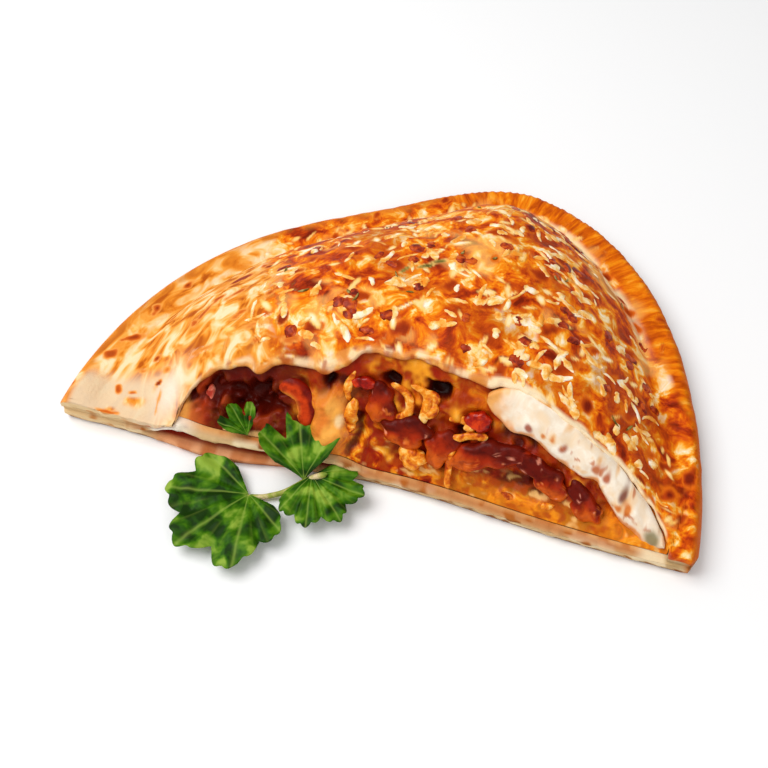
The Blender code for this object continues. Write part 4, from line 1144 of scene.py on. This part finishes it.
# %% Laying strips on the top
def surface_frame(x, y):
    """Height of the top and its unit normal at each place, from differences half a millimetre apart."""
    step = 0.5
    z = top_surface(x, y)
    slope_x = (top_surface(x + step, y) - z) / step
    slope_y = (top_surface(x, y + step) - z) / step
    normal = np.stack([-slope_x, -slope_y, np.ones_like(z)], axis=-1)
    return z, normal / np.linalg.norm(normal, axis=-1, keepdims=True)


def scatter(count, seed, density):
    """Random places on the top, kept in proportion to a density between 0 and 1."""
    rng = np.random.default_rng(seed)
    x, y = rng.uniform(-118.0, 118.0, 9 * count), rng.uniform(2.0, 152.0, 9 * count)
    distance, _ = edge_place(x, y)
    inside_edge = np.hypot(x, y) < edge_radius(np.arctan2(y, x)) - 1.0
    clear_of_lip = y - front_line(x) > window_depth(x) + 3.0
    keep = inside_edge & clear_of_lip & (rng.uniform(0.0, 1.0, x.size) < density(x, y, distance))
    return x[keep][:count], y[keep][:count], rng


def strips(x, y, rng, length, width, thickness, sink, steps=7, sides=7):
    """Bent, flattened strips that follow the top: rings along a curved path on it."""
    count = len(x)
    heading = rng.uniform(0.0, 2.0 * np.pi, count)[:, None]
    half = 0.5 * rng.uniform(*length, count)[:, None]
    bend = rng.uniform(-0.35, 0.35, count)[:, None]
    share = np.linspace(-1.0, 1.0, steps)[None, :]
    path_x = x[:, None] + half * (share * np.cos(heading) - bend * share ** 2 * np.sin(heading))
    path_y = y[:, None] + half * (share * np.sin(heading) + bend * share ** 2 * np.cos(heading))
    z, normal = surface_frame(path_x, path_y)
    path = np.stack([path_x, path_y, z], axis=-1)
    run = np.gradient(path, axis=1)
    run /= np.linalg.norm(run, axis=-1, keepdims=True)
    side = np.cross(run, normal)
    wide = 0.5 * rng.uniform(*width, count)[:, None] * np.sqrt(1.0 - 0.9 * share ** 4)
    wide = wide * rng.uniform(0.65, 1.3, (count, steps))
    thick = 0.5 * rng.uniform(*thickness, count)[:, None] * np.sqrt(1.0 - 0.9 * share ** 4)
    around = np.linspace(0.0, 2.0 * np.pi, sides, endpoint=False)
    centre = path + sink * normal
    return (centre[:, :, None, :] + (wide[..., None] * np.cos(around))[..., None] * side[:, :, None, :]
            + (thick[..., None] * np.sin(around))[..., None] * normal[:, :, None, :])


shred_cheese = speckled_material("baked_cheese_shreds", 5.0, (
    (0.36, "#EC8E20"), (0.45, "#F6B450"), (0.53, "#FBD490"), (0.62, "#FDEAC8"), (0.74, "#FFF8EC")), 0.45, 0.02, 0.5)
bit_meat = speckled_material("baked_meat_bits", 3.0, (
    (0.36, "#6A1404"), (0.5, "#A83208"), (0.62, "#D05A10")), 0.42, 0.02, 0.5)
herb = speckled_material("dried_herb", 2.5, (
    (0.38, "#5C4A14"), (0.52, "#84702C"), (0.66, "#AC965A")), 0.6, 0.0, 0.3)


def shred_density(x, y, distance):
    """Many shreds where the topping is thick, none on the rim."""
    return topping_share(x, y) * smooth_step(distance, 13.0, 20.0) * (0.55 + 0.45 * soft_field(x, y, 18.0, 91))


x, y, rng = scatter(240, 92, shred_density)
add_piece("cheese_shreds", strips(x, y, rng, (3.2, 9.5), (1.2, 3.9), (0.6, 1.0), -0.12), shred_cheese)
x, y, rng = scatter(56, 93, shred_density)
add_piece("meat_bits", strips(x, y, rng, (3.5, 6.5), (3.0, 5.0), (1.0, 1.5), -0.15), bit_meat)
x, y, rng = scatter(16, 94, lambda x, y, distance: 0.4 * smooth_step(distance, 10.0, 20.0) * (x > -60.0))
add_piece("herb_flecks", strips(x, y, rng, (2.0, 4.5), (0.7, 1.3), (0.4, 0.6), 0.35, steps=4, sides=5), herb)

# %% [markdown]
# ## Parsley
# Flat parsley has a thin, lobed leaf on a slender stem. Each lobe has a vein that starts at the
# leaf's base, the blade stands up between the veins, and its border is cut into blunt teeth. A leaf
# is a fan of lines from its base whose length follows the lobes and teeth. It is closed by running
# each line out over the top and back underneath.

# %% The leaf's material
def leaf_material():
    material, tree, shader = new_material("parsley_leaf", 0.5, ior=1.2)
    place = add_node(tree, "ShaderNodeTexCoord").outputs["Object"]
    vein = add_node(tree, "ShaderNodeAttribute", attribute_name="vein").outputs["Fac"]
    patch = add_node(tree, "ShaderNodeTexNoise", {
        "Vector": place, "Scale": 1.0 / (8.0 * MM), "Detail": 3.0, "Roughness": 0.5, "Distortion": 0.3})
    blade = add_node(tree, "ShaderNodeValToRGB", {"Fac": patch.outputs["Fac"]}, stops=(
        (0.38, "#143200"), (0.47, "#2A5800"), (0.55, "#4A7808"), (0.66, "#8AA838")))
    colour = add_node(tree, "ShaderNodeMix", {0: vein, 6: blade.outputs["Color"], 7: (*linear("#94AC48"), 1.0)},
                      data_type="RGBA")
    tree.links.new(colour.outputs[2], shader.inputs["Base Color"])
    bump = add_node(tree, "ShaderNodeBump", {
        "Height": patch.outputs["Fac"], "Strength": 0.35, "Distance": 0.6 * MM})
    tree.links.new(bump.outputs["Normal"], shader.inputs["Normal"])
    return material


leaf_green = leaf_material()

stalk_green = speckled_material("parsley_stalk", 6.0, (
    (0.36, "#6E8626"), (0.5, "#A2A648"), (0.66, "#E0C69C")), 0.5, 0.0, 0.3)

# %% Leaves and stems
LEAF_THICKNESS = 0.5


def leaf_loops(base, length, heading, spread, rise, lobes, depth=0.16, fold=0.0, cup=0.0, narrowing=0.45):
    """A fan of lines from the base: lobes and teeth set their length, veins and folds their height."""
    sides, steps = 26 * lobes + 1, 30
    side = np.linspace(-1.0, 1.0, sides)[:, None]
    share = np.linspace(0.015, 1.0, steps)[None, :]
    lobe = 0.5 + 0.5 * np.cos(lobes * np.pi * side)
    tooth = np.abs(np.cos(1.5 * lobes * np.pi * side))
    border = (1.0 - narrowing * np.abs(side) ** 2.4) * (1.0 - depth * (1.0 - lobe) ** 2) * (0.93 + 0.07 * tooth)
    border = border * (1.0 + 0.06 * soft_field(10.0 * side, 0.0 * side, 1.6, int(10 * length)))
    reach = length * border * share
    turn = np.radians(heading + spread * side)
    x = base[0] + reach * np.cos(turn)
    y = base[1] + reach * np.sin(turn)
    far = reach / length
    rib = 1.0 - lobe
    twig = np.abs(np.sin(1.5 * lobes * np.pi * side + 0.5 * np.pi)) ** 40 * smooth_step(share, 0.45, 0.6)
    vein = 0.5 * np.exp(-(rib / (0.012 / (0.15 + share))) ** 2) * (1.0 - 0.45 * share) + 0.18 * twig
    vein = vein + 0.8 * np.exp(-(share / 0.05) ** 2)
    blade = 1.5 * far * np.sin(np.pi * rib) + 0.8 * far * soft_field(x, y, 3.0, 102) - 1.8 * far ** 3 * rib
    z = base[2] + rise * far ** 0.6 + blade + fold * np.abs(side) * far + cup * far ** 2
    z = z + 1.1 * far * soft_field(x, y, 7.0, 101)
    z = np.maximum(z, 0.35)
    half = 0.5 * LEAF_THICKNESS * (1.0 - 0.6 * share)
    upper = np.stack(np.broadcast_arrays(x, y, z + half), axis=-1)
    under = np.stack(np.broadcast_arrays(x, y, z - half), axis=-1)[:, ::-1]
    veins = np.concatenate([vein, vein[:, ::-1]], axis=1)
    return np.concatenate([upper, under], axis=1), np.clip(veins, 0.0, 1.0)


def stem_loops(points, radius, steps=36, sides=10):
    """A round stem through a few places, smoothed by a curve that passes near all of them."""
    points = np.array(points)
    knots = np.linspace(0.0, 1.0, len(points))
    t = np.linspace(0.0, 1.0, steps)
    path = np.stack([np.interp(t, knots, points[:, k]) for k in range(3)], axis=1)
    kernel = np.ones(5) / 5.0
    inner = np.stack([np.convolve(np.pad(path[:, k], 2, mode="edge"), kernel, mode="valid") for k in range(3)], axis=1)
    inner[[0, -1]] = path[[0, -1]]
    run = np.gradient(inner, axis=0)
    run /= np.linalg.norm(run, axis=1)[:, None]
    side = np.cross(run, np.array([0.05, 0.1, 1.0]))
    side /= np.linalg.norm(side, axis=1)[:, None]
    up = np.cross(side, run)
    around = np.linspace(0.0, 2.0 * np.pi, sides, endpoint=False)
    thick = (radius * (1.0 - 0.35 * t) * np.sqrt(np.clip(1.0 - (2.0 * t - 1.0) ** 20, 0.05, 1.0)))[:, None, None]
    return inner[:, None, :] + thick * (np.cos(around)[None, :, None] * side[:, None, :]
                                        + np.sin(around)[None, :, None] * up[:, None, :])


# base, length, heading, spread, rise, lobes, lobe depth, fold, cup, narrowing
LEAVES = {
    "big_leaf": ((-39.5, -14.5, 1.8), 32.5, 238.0, 108.0, 5.0, 5, 0.15, 0.5, -1.0, 0.55),
    "right_leaf": ((-18.6, -3.4, 7.4), 21.0, 318.0, 88.0, 0.5, 5, 0.14, 1.0, -2.0, 0.3),
    "upper_leaf": ((-21.0, -5.4, 5.6), 24.0, 112.0, 66.0, 12.0, 3, 0.36, 1.5, 1.0, 0.25),
    "small_leaf": ((-45.5, 3.2, 12.6), 12.5, 140.0, 62.0, 5.0, 3, 0.25, 1.0, 0.0, 0.35),
}
for name, shape in LEAVES.items():
    loops_, veins = leaf_loops(*shape)
    stands_for = {"big_leaf": ("parsley_sprig",), "small_leaf": ("herb_leaf",)}.get(name, ())
    add_piece(name, loops_, leaf_green, stands_for, {"vein": veins})
stem = stem_loops(((-13.0, -2.0, 9.0), (-19.0, -4.4, 6.8), (-27.0, -10.6, 3.0), (-34.0, -13.8, 1.8),
                   (-40.0, -15.2, 1.6), (-45.0, -20.0, 2.2)), 1.25)
add_piece("stem", stem, stalk_green)

# %% [markdown]
# ## Floor, light and camera
# The food stands on a plain pale floor in soft studio light: a broad lamp above and behind the
# camera's left shoulder, a weaker one from the right, and a bright even surrounding. The camera looks
# down at it from above the open side.

# %% Floor and light
floor_material, tree, shader = new_material("pale_floor", 0.9)
shader.inputs["Base Color"].default_value = (0.93, 0.93, 0.93, 1.0)
floor_mesh = bpy.data.meshes.new("floor")
size = 12.0
floor_mesh.from_pydata([(-size, -size, 0.0), (size, -size, 0.0), (size, size, 0.0), (-size, size, 0.0)], [], [(0, 1, 2, 3)])
floor_mesh.materials.append(floor_material)
floor_piece = bpy.data.objects.new("floor", floor_mesh)
bpy.context.collection.objects.link(floor_piece)

world = bpy.data.worlds.new("studio")
world.use_nodes = True
world.node_tree.nodes["Background"].inputs["Color"].default_value = (1.0, 1.0, 1.0, 1.0)
world.node_tree.nodes["Background"].inputs["Strength"].default_value = 0.48
bpy.context.scene.world = world
bpy.context.scene.view_settings.view_transform = "Standard"


def add_lamp(name, place, aim, size, watts):
    """A square area lamp that shines from one place towards another."""
    lamp = bpy.data.lights.new(name, "AREA")
    lamp.size = size
    lamp.energy = watts
    holder = bpy.data.objects.new(name, lamp)
    direction = np.array(place, dtype=float) - np.array(aim, dtype=float)
    direction /= np.linalg.norm(direction)
    right = np.cross((0.0, 0.0, 1.0), direction)
    right /= np.linalg.norm(right)
    up = np.cross(direction, right)
    rows = np.column_stack([right, up, direction, place])
    holder.matrix_world = Matrix([*rows.tolist(), [0.0, 0.0, 0.0, 1.0]])
    bpy.context.collection.objects.link(holder)
    return holder


add_lamp("key_lamp", (-0.5, -0.1, 0.85), (0.0, 0.0, 0.02), 0.7, 7.6)
add_lamp("side_lamp", (0.7, -0.5, 0.6), (0.0, 0.0, 0.02), 0.7, 2.0)

# %% Camera
AZIMUTH = np.radians(16.0)
ELEVATION = np.radians(52.5)
RANGE = 0.400
TARGET = (np.array([0.0, 60.0, 20.0]) + SHIFT) * MM
away = np.array([np.sin(AZIMUTH) * np.cos(ELEVATION), -np.cos(AZIMUTH) * np.cos(ELEVATION), np.sin(ELEVATION)])
right = np.array([np.cos(AZIMUTH), np.sin(AZIMUTH), 0.0])
up = np.cross(away, right)
lens = bpy.data.cameras.new("camera")
lens.sensor_width = 36.0
lens.lens = 48.375
lens.shift_x = -0.0324
lens.shift_y = -0.0664
camera = bpy.data.objects.new("camera", lens)
rows = np.column_stack([right, up, away, TARGET + away * RANGE])
camera.matrix_world = Matrix([*rows.tolist(), [0.0, 0.0, 0.0, 1.0]])
bpy.context.collection.objects.link(camera)
bpy.context.scene.camera = camera
